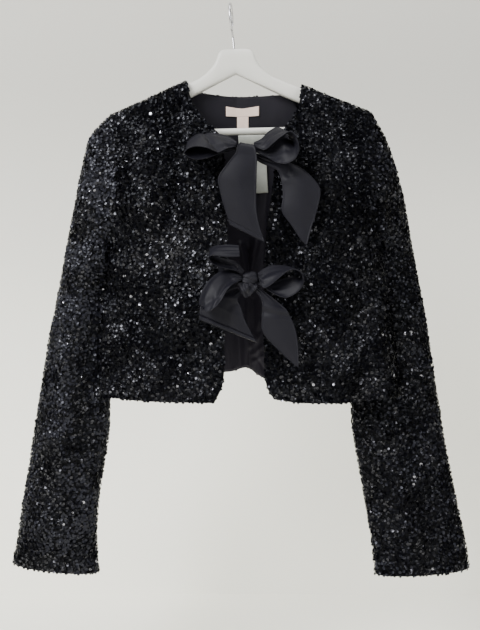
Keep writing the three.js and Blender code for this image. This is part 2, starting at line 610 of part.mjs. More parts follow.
// Each row is a place along the ribbon: one edge, then the other edge, then how far the middle
// bellies out of the straight line between them. A null depth lies on the front it is sewn to.
const RIBBON_COLUMNS = ['aX', 'aY', 'aZ', 'bX', 'bY', 'bZ', 'belly'];
const RIBBONS = {
  upper_loop_right: [
    [1.4, -54, -198.5, 1.4, -57, -204, 0],
    [-9.9, -47, -189.4, -9.6, -64, -209.1, 2],
    [-27.9, -45.5, -185.2, -23.1, -72, -214.9, 4],
    [-42, -45, -184.4, -36.4, -78, -211.5, 4],
    [-53.6, -45, -188.9, -49.8, -80, -210.7, 2],
    [-61.2, -45, -196.6, -59.7, -79, -214.2, 1],
    [-62.5, -45, -204.3, -63, -77, -218.6, 0],
    [-56.1, -55, -205.5, -56.4, -75, -223.7, 0],
    [-40.7, -57, -204, -39.3, -71, -224.6, 0],
    [-22.7, -53.5, -202, -22.2, -64, -216, 0],
    [-9.9, -49, -202.1, -9.7, -58, -209.5, 0],
    [1.6, -51.5, -204.5, 1.6, -54.5, -208.5, 0],
  ],
  upper_loop_left: [
    [22.9, -54, -199, 22.9, -57, -204, 0],
    [33.5, -47.5, -192.1, 36.7, -63, -210.1, 1],
    [42.5, -46.5, -182.9, 47.6, -72, -203.7, 2],
    [52.8, -46, -177.6, 58.3, -79, -197, 2],
    [61.7, -47, -181.8, 67.9, -82, -192.9, 1],
    [68, -48, -188.4, 75.1, -83, -200.5, 0],
    [69.7, -50, -196, 78.3, -82, -212.5, 0],
    [66.5, -60, -197, 75.5, -79, -222.8, 0],
    [57.5, -62, -194.5, 65.9, -76, -229.5, 1],
    [47.3, -54, -204, 52.5, -70, -229, 1],
    [37.8, -52.5, -210, 40.5, -61, -220, 0],
    [22.6, -51.5, -205, 22.6, -54.5, -209.5, 0],
  ],
  upper_tail_right: [
    [6, -59.5, -200, 21, -59.5, -202.5, 0],
    [2.5, -62.5, -204.6, 24.3, -62.5, -208, 0],
    [-0.2, -62, -213.6, 26.5, -62.3, -218.7, 0],
    [-9.7, -60.5, -225.8, 26.3, -61.5, -233.6, 2],
    [-22, -57.5, -244.1, 25.9, -60, -252.1, 3],
    [-19.9, -55, -258.7, 25.6, -58, -269.4, 3],
    [-15.6, -52.5, -276, 26.4, -56, -286.7, 2],
    [-11.1, -50.5, -289.7, 29.5, -54, -301.6, 1],
    [-7.4, -49, -302.2, 37.2, -52, -325.5, 0],
  ],
  upper_tail_left: [
    [15, -51, -212.9, 22.6, -51, -210.7, 0],
    [34, -48.2, -224, 52, -48.2, -218, 0],
    [52.6, -49, -232.1, 82.3, -52, -230.2, 2],
    [58.9, -50, -248.9, 100.4, -55, -247.3, 4],
    [60.2, -49.5, -266.6, 106.7, -55, -258.7, 4],
    [59, -48.5, -284.3, 103.2, -52.5, -283.6, 3],
    [71.8, -48, -303.4, 95.8, -50, -307.4, 1],
    [84.1, -48, -322.5, 90.9, -48.5, -327.7, 0],
  ],
  lower_roll: [
    [10.4, -52.5, -361.4, 8.7, -57, -366, 0],
    [-1, -49.5, -349.4, -0.9, -62, -361.8, 1],
    [-16.3, -48, -345.5, -17, -69, -358.5, 1],
    [-27.8, -48, -341.7, -29.2, -75, -354, 1],
    [-32.7, -53, -336.4, -33.4, -78, -347.5, 2],
    [-28.6, -59, -331.9, -29.1, -78, -344.4, 3],
    [-13.5, -59, -329.4, -13.1, -78, -345.6, 3],
    [4.1, -58, -330, 5.4, -76, -345.4, 3],
  ],
  lower_loop_right: [
    [7.9, -54.5, -368.8, 7.9, -59, -373, 0],
    [-4.7, -53.5, -360.6, -2.1, -66, -378.3, 1],
    [-20, -54, -363.8, -10.7, -72, -387.2, 3],
    [-32.6, -55, -372.7, -18, -76, -399.7, 4],
    [-40.8, -55.5, -384.1, -26, -78, -409.6, 3],
    [-44.6, -56, -395.5, -34, -77, -413.3, 2],
    [-44.5, -57, -404.4, -40.4, -73, -409.6, 0],
    [-37.5, -57.5, -401.9, -37, -67, -404.5, 0],
    [-23.6, -57.5, -393, -23.4, -65, -397, 0],
    [-8.5, -57, -382.9, -8.4, -62, -386.9, 0],
    [8.5, -55, -376.5, 9.2, -58.5, -380.5, 0],
  ],
  lower_tail_right: [
    [7, -52, -383, 17.5, -54.8, -380.3, 0],
    [-8.6, -51, -387.7, 2.9, -56, -396.8, 1],
    [-29, -49.5, -389, 6.7, -55.5, -408.1, 2],
    [-42.4, -49, -397.9, 10.5, -55, -420.8, 3],
    [-45.6, -49.5, -410.6, 17.8, -54, -436, 2],
    [-45.8, -50.5, -423.4, 27, -53, -452, 1],
  ],
  lower_loop_left: [
    [28.2, -53.5, -364.5, 28.2, -58, -370, 0],
    [36, -50, -358.4, 35.4, -66, -383.3, 2],
    [46.3, -48, -355.1, 45.7, -72, -378.6, 3],
    [57.8, -47, -354.4, 56.5, -77, -369.6, 3],
    [69.4, -46.5, -356.2, 65.6, -79, -362.9, 1],
    [78.9, -47, -360.7, 75.5, -79, -361.7, 0],
    [82.7, -48, -367.2, 82.9, -78, -367.8, 0],
    [80.6, -60, -371, 84.5, -75, -378.1, 0],
    [71.5, -62, -369, 77.3, -72, -388.5, 0],
    [58.7, -56, -371.5, 62.7, -69, -395.8, 1],
    [44.7, -53, -377, 47.9, -65, -392, 0],
    [27.6, -53, -372.5, 27.6, -57, -378, 0],
  ],
  lower_tail_left: [
    [20, -55.4, -380.3, 30, -56.5, -382.5, 0],
    [33, -55, -399, 55, -56, -402, 1],
    [33, -55, -418, 66, -57, -414, 3],
    [34, -53, -437, 75, -55, -434, 2],
    [55, -51, -462, 79, -53, -456, 1],
    [76, -50, -481, 80, -51, -484, 0],
  ],
  upper_end_right: [
    [-28, null, -184, -28, null, -208, 0],
    [-20, null, -190, -20, null, -209, 0],
    [-9, -46, -195, -9, -46, -208.5, 0],
    [2.2, -49.5, -200, 2.2, -49.5, -207, 0],
  ],
  upper_end_left: [
    [70, null, -180, 66, null, -206, 0],
    [62, null, -186, 59, null, -206, 0],
    [40, -44.8, -193, 40, -44.8, -208, 0],
    [21.9, -49.5, -200, 21.9, -49.5, -207, 0],
  ],
  lower_end_right: [
    [-22, null, -350, -22, null, -377, 0],
    [-14, null, -353, -14, null, -377, 0],
    [-2, -46.5, -360, -2, -46.5, -376, 0],
    [9, -49.9, -368.5, 9, -49.9, -375, 0],
  ],
  lower_end_left: [
    [50, null, -352, 50, null, -379, 0],
    [42, null, -354, 42, null, -378, 0],
    [35, -46, -361, 35, -46, -377, 0],
    [27.2, -49.9, -367, 27.2, -49.9, -375, 0],
  ],
};

const RIBBON_ACROSS = [0, 0.25, 0.5, 0.75, 1];
const LONG_RIBBON = 7;

// A long ribbon gets fewer places between its rows than a short one.
const placesAlong = (rows) => (rows.length > LONG_RIBBON ? rows.length + 4 : rows.length * 2 - 1);

function ribbon(name) {
  const onFront = (x, z) => frontY(x, z) - SEAM_GAP - RIBBON_WALL * 0.9;
  const rows = rowsOf(RIBBON_COLUMNS, RIBBONS[name]).map((row) => ({
    ...row,
    aY: row.aY === null ? onFront(row.aX, row.aZ) : row.aY,
    bY: row.bY === null ? onFront(row.bX, row.bZ) : row.bY,
  }));
  const edgeA = smoothCurve(rows.map((r) => new THREE.Vector3(r.aX, r.aY, r.aZ)));
  const edgeB = smoothCurve(rows.map((r) => new THREE.Vector3(r.bX, r.bY, r.bZ)));
  const count = placesAlong(rows);
  const grid = [];
  for (let i = 0; i < count; i += 1) {
    const t = i / (count - 1);
    const place = t * (rows.length - 1);
    const low = Math.min(rows.length - 2, Math.floor(place));
    const belly = lerp(rows[low].belly, rows[low + 1].belly, place - low);
    const a = edgeA.getPoint(t);
    const b = edgeB.getPoint(t);
    grid.push(RIBBON_ACROSS.map((u) => {
      const p = a.clone().lerp(b, u);
      p.y -= belly * Math.sin(Math.PI * u);
      return p;
    }));
  }
  return wallMesh(name, grid, { wall: RIBBON_WALL, centred: true });
}

// The wrap of a bow: a soft flattened ring of ribbon, closed at its ends
const WRAP_HEIGHTS = [-1, -0.86, -0.5, 0, 0.5, 0.86, 1];
const WRAP_SIDES = 12;
const WRAP_END_AREA = 0.1;
const WRAP_PINCH = 0.12;

function wrap(name, centre, halfSize) {
  const rings = [];
  for (const h of WRAP_HEIGHTS) {
    const size = Math.sqrt(Math.max(WRAP_END_AREA, 1 - Math.abs(h) ** 3));
    const ring = [];
    for (let j = 0; j < WRAP_SIDES; j += 1) {
      const angle = (j / WRAP_SIDES) * Math.PI * 2;
      const pinch = 1 - WRAP_PINCH * Math.cos(4 * angle);
      ring.push([
        centre[0] + halfSize[0] * size * Math.cos(angle) * pinch,
        centre[1] + halfSize[1] * size * Math.sin(angle),
        centre[2] + halfSize[2] * h,
      ]);
    }
    rings.push(ring);
  }
  return loft(name, rings);
}

// A solid through closed rings of [x, y, z], closed by a fan at each end
function loft(name, rings) {
  const n = rings[0].length;
  const positions = rings.flat(2);
  const index = [];
  for (let i = 0; i < rings.length - 1; i += 1) {
    for (let j = 0; j < n; j += 1) {
      const a = i * n + j;
      const b = i * n + ((j + 1) % n);
      index.push(a, b, b + n, a, b + n, a + n);
    }
  }
  const lastRing = rings.length - 1;
  for (const i of [0, lastRing]) {
    const centre = positions.length / 3;
    for (let axis = 0; axis < 3; axis += 1) {
      positions.push(rings[i].reduce((sum, p) => sum + p[axis], 0) / n);
    }
    for (let j = 0; j < n; j += 1) {
      const a = i * n + j;
      const b = i * n + ((j + 1) % n);
      index.push(...(i === 0 ? [centre, b, a] : [centre, a, b]));
    }
  }
  return solidMesh(name, positions, index);
}

// ---------------------------------------------------------------- hanger

// Half of the arms: distance from the middle, height of the top and of the underside
const ARM_SECTIONS = rowsOf(['out', 'top', 'under'], [
  [0, -58, -92.2],
  [12, -58, -98.1],
  [19, -59, -101.5],
  [23, -62, -103.4],
  [25.5, -69, -104.7],
  [28, -75.5, -105.9],
  [33, -82.7, -108.3],
  [40, -90, -111.8],
  [49, -96.7, -116.2],
  [64, -103.8, -123.5],
  [100, -118.3, -139.5],
  [140, -135.1, -153],
  [160.5, -143.4, -161],
  [161, -143.9, -177],
  [168, -150, -178],
  [173, -157, -177],
  [175.5, -163, -174],
]);

// Makes the round section of an arm squarer
const squared = (value) => Math.sign(value) * Math.abs(value) ** ARM_SQUARENESS;

function hangerArms() {
  const mirrored = ARM_SECTIONS.slice(1).reverse().map((s) => ({ ...s, out: -s.out }));
  const rings = mirrored.concat(ARM_SECTIONS).map((s) => {
    const lean = HANGER_LEAN * s.out;
    const middle = (s.top + s.under) / 2 + lean;
    const half = (s.top - s.under) / 2;
    return Array.from({ length: ARM_SIDES }, (_, j) => {
      const angle = ((j + 0.5) / ARM_SIDES) * Math.PI * 2;
      const ahead = squared(Math.cos(angle));
      const up = squared(Math.sin(angle));
      return [s.out, ARM_HALF_THICKNESS * ahead, middle + half * up];
    });
  });
  return loft('hanger_arms', rings);
}

function hangerBar() {
  const bar = new THREE.CylinderGeometry(BAR_RADIUS, BAR_RADIUS, BAR_HALF_LENGTH * 2, BAR_SIDES, 1);
  bar.rotateZ(-Math.PI / 2);
  bar.rotateY(-Math.atan(HANGER_LEAN));
  const mesh = new THREE.Mesh(bar, new THREE.MeshStandardMaterial());
  mesh.name = 'hanger_bar';
  mesh.position.z = BAR_HEIGHT;
  return mesh;
}

// The hook turns from front to back: a straight shank, then most of a circle over the top. Seen
// from the front it leans: x at its foot, where the circle starts, and where the circle ends
const HOOK_X = { foot: 4.2, neck: 2.6, end: 0, swing: 1.8 };

class HookPath extends THREE.Curve {
  getPoint(t, target = new THREE.Vector3()) {
    const radius = HOOK_INNER_RADIUS + WIRE_RADIUS;
    const neck = -HOOK_INNER_RADIUS - radius;
    if (t < HOOK_SHANK_SHARE) {
      const s = t / HOOK_SHANK_SHARE;
      return target.set(lerp(HOOK_X.foot, HOOK_X.neck, s), 0, lerp(HOOK_FOOT, neck, s));
    }
    const s = (t - HOOK_SHANK_SHARE) / (1 - HOOK_SHANK_SHARE);
    const angle = -Math.PI / 2 - s * Math.PI * HOOK_HALF_TURNS;
    const x = lerp(HOOK_X.neck, HOOK_X.end, smooth(s * 2)) + HOOK_X.swing * Math.cos(angle);
    return target.set(x, radius * Math.cos(angle), -HOOK_INNER_RADIUS + radius * Math.sin(angle));
  }
}

function hangerHook() {
  const circle = new THREE.Shape().absarc(0, 0, WIRE_RADIUS, 0, Math.PI * 2);
  const options = { steps: 30, curveSegments: 4, extrudePath: new HookPath(), bevelEnabled: false };
  const tube = new THREE.ExtrudeGeometry(circle, options);
  const mesh = new THREE.Mesh(tube, new THREE.MeshStandardMaterial());
  mesh.name = 'hanger_hook';
  return mesh;
}

// ---------------------------------------------------------------- assembly

function finish(mesh, color, roughness, metalness) {
  mesh.material = new THREE.MeshStandardMaterial({ color, roughness, metalness, side: THREE.DoubleSide });
  return mesh;
}

const jacket = new THREE.Group();
jacket.name = 'jacket_on_hanger';
const hung = new THREE.Group();
hung.name = 'hung';
hung.position.x = HOOK_OFFSET;
jacket.add(hung);

const sequinned = (mesh) => finish(mesh, 0x0c0c0e, 0.35, 0.2);
const satin = (mesh) => finish(mesh, 0x1c1c20, 0.4, 0);
const woven = (mesh) => finish(mesh, 0xe9d6cb, 0.7, 0);
const printed = (mesh) => finish(mesh, 0xf0efec, 0.7, 0);
const painted = (mesh) => finish(mesh, 0xf2f1ee, 0.4, 0);
const steel = (mesh) => finish(mesh, 0x9a9a9c, 0.3, 0.9);

hung.add(sequinned(frontPanel('front_right', SIDES.right)));
hung.add(sequinned(frontPanel('front_left', SIDES.left)));
hung.add(sequinned(backPanel()));
hung.add(sequinned(sleeve('sleeve_right', 'right')));
hung.add(sequinned(sleeve('sleeve_left', 'left')));
hung.add(satin(liningBack()));
hung.add(woven(label('neck_label', NECK_LABEL)));
hung.add(woven(label('size_tab', SIZE_TAB)));
hung.add(printed(label('care_label', CARE_LABEL)));
for (const name of Object.keys(RIBBONS)) {
  hung.add(satin(ribbon(name)));
}
hung.add(satin(wrap('upper_wrap', [12, -54, -207.2], [11, 7, 4.8])));
hung.add(satin(wrap('lower_wrap', [18, -55, -371], [10.5, 7.5, 8.5])));
hung.add(painted(hangerArms()));
hung.add(painted(hangerBar()));
jacket.add(steel(hangerHook()));

export default jacket;
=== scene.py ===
import math

import bpy
import numpy as np
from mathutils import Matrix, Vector, noise


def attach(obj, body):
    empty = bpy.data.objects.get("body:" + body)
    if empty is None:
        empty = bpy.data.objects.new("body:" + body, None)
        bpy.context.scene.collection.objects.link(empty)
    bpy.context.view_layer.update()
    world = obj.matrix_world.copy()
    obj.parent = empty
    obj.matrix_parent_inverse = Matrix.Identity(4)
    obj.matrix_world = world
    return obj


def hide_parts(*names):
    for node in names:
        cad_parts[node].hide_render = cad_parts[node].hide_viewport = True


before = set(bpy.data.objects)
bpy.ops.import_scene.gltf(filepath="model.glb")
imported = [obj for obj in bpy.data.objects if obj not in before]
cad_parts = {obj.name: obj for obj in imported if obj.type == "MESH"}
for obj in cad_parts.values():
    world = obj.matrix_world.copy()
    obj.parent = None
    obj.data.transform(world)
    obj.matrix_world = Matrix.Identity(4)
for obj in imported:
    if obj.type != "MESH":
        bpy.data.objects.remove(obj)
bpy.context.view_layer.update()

# Sizes are in millimetres here and become metres when a mesh is made. Left and right are the
# wearer's. The jacket hangs a little to the side of the point that carries the hook.
METRE = 0.001
HOOK_OFFSET = 6.8
FORWARD, BACKWARD = np.array([0.0, -1.0, 0.0]), np.array([0.0, 1.0, 0.0])

RIDGE_TOP = -72.7
SHOULDER_FALL = 0.4224
HANGER_LEAN = 0.0262
RIDGE_RADIUS = 12.0
FRONT_DEPTH = 47.0
BACK_DEPTH = 34.0
DEPTH_DROP = 135.0
# How far below the shoulder ridge the depth begins to grow, the side seam is all the way back, and
# the sides begin to round off; folds fade in over their first stretch
DEPTH_START = 6.0
SEAM_SET_BACK = 8.0
SEAM_REACH = 190.0
ROUND_START, ROUND_REACH = 70.0, 90.0
FOLD_FADE = 60.0
CLOTH_WALL = 1.8
LINING_WALL = 0.8
LINING_OFF = 1.5
LINING_LOOSE, LINING_EASE = 1.3, 40.0
LINING_NECK = -119.0
LINING_HEM = -497.0
ARMHOLE_GAP = 0.7


def named(columns, rows):
    """A table: one dictionary for each row, with the column names as keys."""
    return [dict(zip(columns.split(), row)) for row in rows]


def smooth(t):
    t = np.clip(t, 0.0, 1.0)
    return t * t * (3.0 - 2.0 * t)


def lerp(a, b, t):
    return a + (b - a) * t


def unit(vectors):
    return vectors / np.linalg.norm(vectors, axis=-1, keepdims=True)


def cubic(b, c, t1, t2, w):
    """The smooth step from b to c with the tangents t1 and t2, at the share w."""
    return b + t1 * w + (3 * (c - b) - 2 * t1 - t2) * w ** 2 + (2 * (b - c) + t1 + t2) * w ** 3


# ---------------------------------------------------------------- the jacket's form

BODY = named("z middle half", [
    (-100, 9, 214),
    (-240, 11, 209),
    (-300, 12.5, 196),
    (-325, 13, 186),
    (-400, 15, 194),
    (-470, 17, 200),
    (-530, 17.4, 206.5),
])

FOLD = "x0 z0 x1 z1 wide high"
FRONT_FOLDS = named(FOLD, [
    (-120, -190, -112, -522, 26, 4.5),
    (-66, -240, -58, -530, 20, -4),
    (-150, -300, -166, -522, 15, -4.5),
    (-30, -190, -100, -300, 22, -3.5),
    (72, -215, 88, -528, 22, -4),
    (128, -180, 132, -520, 26, 4.5),
    (176, -330, 205, -522, 16, 5),
    (160, -300, 170, -520, 14, -4),
    (60, -190, 120, -290, 20, -3),
])
BACK_FOLDS = named(FOLD, [
    (-110, -200, -120, -515, 24, 4),
    (-60, -260, -70, -510, 20, -3.5),
    (20, -180, 10, -500, 26, 4),
    (78, -250, 90, -510, 22, -3.5),
    (130, -210, 140, -515, 24, 3.5),
    (-10, -150, 40, -190, 16, -2.5),
])
PUCKERS = named(FOLD, [
    (-14, -380, -10, -496, 9, 4),
    (8, -400, 6, -496, 7, 5),
    (24, -370, 30, -496, 8, 4.5),
    (44, -395, 48, -496, 8, 3.5),
    (4, -230, 2, -360, 10, 3),
    (30, -240, 34, -380, 9, 3),
])


def body_column(z, key):
    levels = [-row["z"] for row in BODY]
    return np.interp(-z, levels, [row[key] for row in BODY])


def fold_height(folds, x, z):
    total = np.zeros_like(x)
    for f in folds:
        t = np.clip((z - f["z0"]) / (f["z1"] - f["z0"]), 0.0, 1.0)
        off = (x - lerp(f["x0"], f["x1"], t)) / f["wide"]
        total += f["high"] * smooth((f["z0"] - z) / FOLD_FADE + 0.2) * np.exp(-off * off)
    return total


def pressed_height(folds, across, along):
    total = np.zeros_like(across)
    for f in folds:
        dx, ds = f["x1"] - f["x0"], f["s1"] - f["s0"]
        t = np.clip(((across - f["x0"]) * dx + (along - f["s0"]) * ds) / (dx * dx + ds * ds), 0, 1)
        away = np.hypot(across - f["x0"] - t * dx, along - f["s0"] - t * ds)
        total += f["high"] * np.exp(-((away / f["wide"]) ** 2))
    return total


def ridge_height(x):
    return RIDGE_TOP - SHOULDER_FALL * np.abs(x) + HANGER_LEAN * x


def seam_depth(x, z):
    return SEAM_SET_BACK * smooth((ridge_height(x) - z) / SEAM_REACH)


def body_depth(x, z, full, folds, roundness):
    drop = np.maximum(0.0, ridge_height(x) - z)
    past = np.maximum(0.0, RIDGE_RADIUS - drop)
    over_hanger = np.sqrt(RIDGE_RADIUS ** 2 - past ** 2)
    stand_off = (full - RIDGE_RADIUS) * smooth((drop - DEPTH_START) / DEPTH_DROP)
    hanger_share = lerp(1.0, roundness, smooth((drop - ROUND_START) / ROUND_REACH))
    return over_hanger * hanger_share + (stand_off + fold_height(folds, x, z)) * roundness


def across(x, z):
    return np.minimum(1.0, np.abs(x - body_column(z, "middle")) / body_column(z, "half"))


def front_y(x, z):
    roundness = np.sqrt(1.0 - across(x, z) ** 2.3)
    return seam_depth(x, z) - body_depth(x, z, FRONT_DEPTH, FRONT_FOLDS, roundness)


def back_y(x, z):
    roundness = (1.0 - across(x, z) ** 2) ** 0.75
    return seam_depth(x, z) + body_depth(x, z, BACK_DEPTH, BACK_FOLDS, roundness)


def lining_y(x, z):
    loose = smooth((LINING_NECK - z) / LINING_EASE) * smooth((z - LINING_HEM) / LINING_EASE)
    off = CLOTH_WALL + LINING_OFF + LINING_LOOSE * loose
    return back_y(x, z) - off - fold_height(PUCKERS, x, z)


def curve(points, shares):
    """Points along the smooth curve through the given points, one for each share from 0 to 1."""
    p = np.array(points, float)
    p = np.vstack([2 * p[0] - p[1], p, 2 * p[-1] - p[-2]])
    spans = len(points) - 1
    out = []
    for share in shares:
        place = min(max(share, 0.0), 1.0) * spans
        k = min(int(place), spans - 1)
        w = place - k
        a, b, c, d = p[k], p[k + 1], p[k + 2], p[k + 3]
        da, db, dc = (max(np.sum((q - r) ** 2) ** 0.25, 1e-4) for q, r in ((a, b), (b, c), (c, d)))
        t1 = ((b - a) / da - (c - a) / (da + db) + (c - b) / db) * db
        t2 = ((c - b) / db - (d - b) / (db + dc) + (d - c) / dc) * db
        out.append(cubic(b, c, t1, t2, w))
    return np.array(out)


SIDES = {
    "right": {
        "sign": -1,
        "tip": (-166.0, float(ridge_height(-166.0))),
        "neck": (-66.0, float(ridge_height(-66.0))),
        "inner": [
            (-59.5, -129), (-40, -163), (-19, -187), (-15, -262),
            (-10, -333), (-15, -430), (-17, -506), (-28, -531),
        ],
        "hem": [(-75, -531), (-130, -529)],
        "front_arm": [(-160, -185), (-156, -236), (-160, -286), (-172, -325)],
        "back_arm": [(-163, -185), (-160, -236), (-163, -286), (-172, -325)],
        "seam": [(-175, -375), (-179, -425), (-184, -475), (-189, -526)],
    },
    "left": {
        "sign": 1,
        "tip": (180.0, float(ridge_height(180.0))),
        "neck": (88.0, float(ridge_height(88.0))),
        "inner": [
            (84, -135), (74, -158), (60, -179), (46, -262),
            (38, -333), (37, -430), (39.5, -508), (49, -526),
        ],
        "hem": [(85, -531.5), (150, -531)],
        "front_arm": [(176, -182), (174, -234), (182, -285), (199, -325)],
        "back_arm": [(178, -182), (177, -234), (184, -285), (199, -325)],
        "seam": [(204.5, -375), (212, -425), (217.5, -475), (223.5, -526)],
    },
}
BACK_NECK = [(-60, -109), (-30, -115), (11, -117), (52, -116), (82, -113)]
BACK_HEM = [(-150, -517), (-80, -504), (15, -497), (110, -504), (185, -517)]
HEM_WAVES = named("x wide high", [(14, 13, 6), (38, 13, -8)])
BODY_STEPS = [0, 0.12, 0.35, 0.7, 1, 1.5, 2, 2.5, 3, 3.5, 4, 4.6, 5.2, 5.8, 6.4, 7, 7.5, 8]


def fine_steps(parts_a_step):
    out = [0.0]
    for a, b in zip(BODY_STEPS, BODY_STEPS[1:]):
        n = max(2, round((b - a) * parts_a_step))
        out += [lerp(a, b, (k + 1) / n) for k in range(n)]
    return np.array(out) / BODY_STEPS[-1]


def side_line(side, arm, rows):
    arms = curve([side["tip"], *arm], np.clip(rows * 2, 0, 1))
    seam = curve([arm[-1], *side["seam"]], np.clip(rows * 2 - 1, 0, 1))
    return np.where((rows <= 0.5)[:, None], arms, seam)


def blended(left, right, top, bottom, rows, cols):
    """A grid of (x, z) between four boundary lines."""
    u, v, e = cols[None, :, None], rows[:, None, None], smooth(rows)[:, None, None]
    sides = lerp(left[:, None], right[:, None], u)
    ends = lerp(top[None], bottom[None], e)
    corners = lerp(lerp(top[0], top[-1], u), lerp(bottom[0], bottom[-1], u), e)
    return sides + ends - corners


def with_depth(flat, depth):
    x, z = flat[..., 0], flat[..., 1]
    return np.stack([x, depth(x, z), z], axis=-1)


def line(a, b, shares):
    return lerp(np.array(a, float)[None], np.array(b, float)[None], np.asarray(shares)[:, None])


def waved(hem):
    rise = sum(w["high"] * np.exp(-(((hem[:, 0] - w["x"]) / w["wide"]) ** 2)) for w in HEM_WAVES)
    return np.stack([hem[:, 0], hem[:, 1] + rise], axis=1)


def front_grid(side_name, parts_a_step=15, columns=60):
    side = SIDES[side_name]
    rows = fine_steps(parts_a_step)
    cols = np.sin(np.linspace(0, 1, columns + 1) * math.pi / 2) ** 0.9
    inner = curve([side["neck"], *side["inner"]], rows)
    outer = side_line(side, side["front_arm"], rows)
    top = line(side["neck"], side["tip"], cols)
    bottom = curve([side["inner"][-1], *side["hem"], side["seam"][-1]], cols)
    return with_depth(blended(inner, outer, top, bottom, rows, cols), front_y)


def back_grid(parts_a_step=15, columns=112):
    right, left = SIDES["right"], SIDES["left"]
    rows = fine_steps(parts_a_step)
    even = np.linspace(0, 1, columns + 1)
    cols = lerp(even, (1 - np.cos(even * math.pi)) / 2, 0.8)
    span = left["tip"][0] - right["tip"][0]
    start = (right["neck"][0] - right["tip"][0]) / span
    end = (left["neck"][0] - right["tip"][0]) / span
    top = np.where(
        (cols <= start)[:, None],
        line(right["tip"], right["neck"], np.clip(cols / start, 0, 1)),
        np.where(
            (cols >= end)[:, None],
            line(left["neck"], left["tip"], np.clip((cols - end) / (1 - end), 0, 1)),
            curve(
                [right["neck"], *BACK_NECK, left["neck"]],
                np.clip((cols - start) / (end - start), 0, 1),
            ),
        ),
    )
    bottom = waved(curve([right["seam"][-1], *BACK_HEM, left["seam"][-1]], cols))
    sides = side_line(right, right["back_arm"], rows), side_line(left, left["back_arm"], rows)
    return with_depth(blended(*sides, top, bottom, rows, cols), back_y)


SLEEVE = "outX outZ inX inZ half back"
SLEEVES = {
    "right": named(SLEEVE, [
        (-185, -163, -174.6, -329, 24, 3),
        (-198, -181, -175, -333, 26, 5),
        (-207, -212, -175.5, -338, 28, 9),
        (-216, -250, -174, -346, 29, 15),
        (-226, -290, -171, -357, 30, 23),
        (-236, -330, -170, -373, 30, 31),
        (-245, -370, -171, -397, 29, 37),
        (-253, -408, -174, -424, 28, 39),
        (-262, -450, -180, -458, 27, 39),
        (-269, -495, -181, -499, 27, 39),
        (-276, -540, -179.5, -541, 27, 38),
        (-283, -585, -181, -585, 27, 37),
        (-289, -630, -187.5, -630, 26, 35),
        (-297, -675, -194, -676, 25, 34),
        (-303, -720, -197, -722, 23, 33),
        (-308, -747, -195, -755, 21, 32),
        (-311, -763, -193, -776, 20, 32),
    ]),
    "left": named(SLEEVE, [
        (193, -163, 201.8, -329, 23, 4),
        (205, -184, 203, -332, 25.5, 9.5),
        (217, -214, 202, -337, 27.5, 16.5),
        (229, -250, 198, -344, 27.5, 25),
        (239, -290, 193, -354, 27, 33.5),
        (248, -330, 190, -371, 25.5, 41),
        (257, -370, 190, -396, 24.5, 45.5),
        (265, -408, 184, -424, 23, 46),
        (272, -450, 177, -458, 21.5, 45.5),
        (278, -495, 170, -499, 21, 44.5),
        (285, -540, 164, -541, 20.5, 43),
        (291, -585, 167, -587, 20.5, 41),
        (299, -630, 175, -634, 20, 38.5),
        (308, -675, 183, -682, 20, 37.5),
        (317.5, -720, 191, -728, 19.5, 36.5),
        (323, -748, 195, -762, 19, 35.5),
        (326, -771, 196, -780, 19, 35),
    ]),
}
# Clock angle (0 outer edge, 90 front), rows from and to, width in degrees, height, turn
CREASE = "angle start stop wide high turn"
SLEEVE_CREASES = {
    "right": named(CREASE, [
        (80, 6, 15, 22, 4, 12),
        (120, 4, 14, 16, -5, -6),
        (45, 5, 12, 16, -3.5, 10),
        (105, 1, 5, 24, -5, 20),
        (250, 4, 13, 20, -4, 10),
        (290, 6, 15, 18, 3, -8),
    ]),
    "left": named(CREASE, [
        (120, 7, 15, 18, 2.5, -10),
        (75, 5, 14, 16, -3, 8),
        (150, 9, 13, 14, -1.5, 0),
        (100, 1, 5, 22, -4, -16),
        (240, 5, 13, 20, -2.5, 10),
        (300, 7, 15, 18, 2, -8),
    ]),
}


def crease_height(creases, row, degrees):
    total = np.zeros_like(degrees)
    for c in creases:
        t = min(max((row - c["start"]) / (c["stop"] - c["start"]), 0.0), 1.0)
        off = (degrees - c["angle"] - c["turn"] * t) / c["wide"]
        total += c["high"] * math.sin(math.pi * t) * np.exp(-off * off)
    return total


SLEEVE_HEAD_ROWS = 4
SLEEVE_HEAD_FULLNESS = 1.4


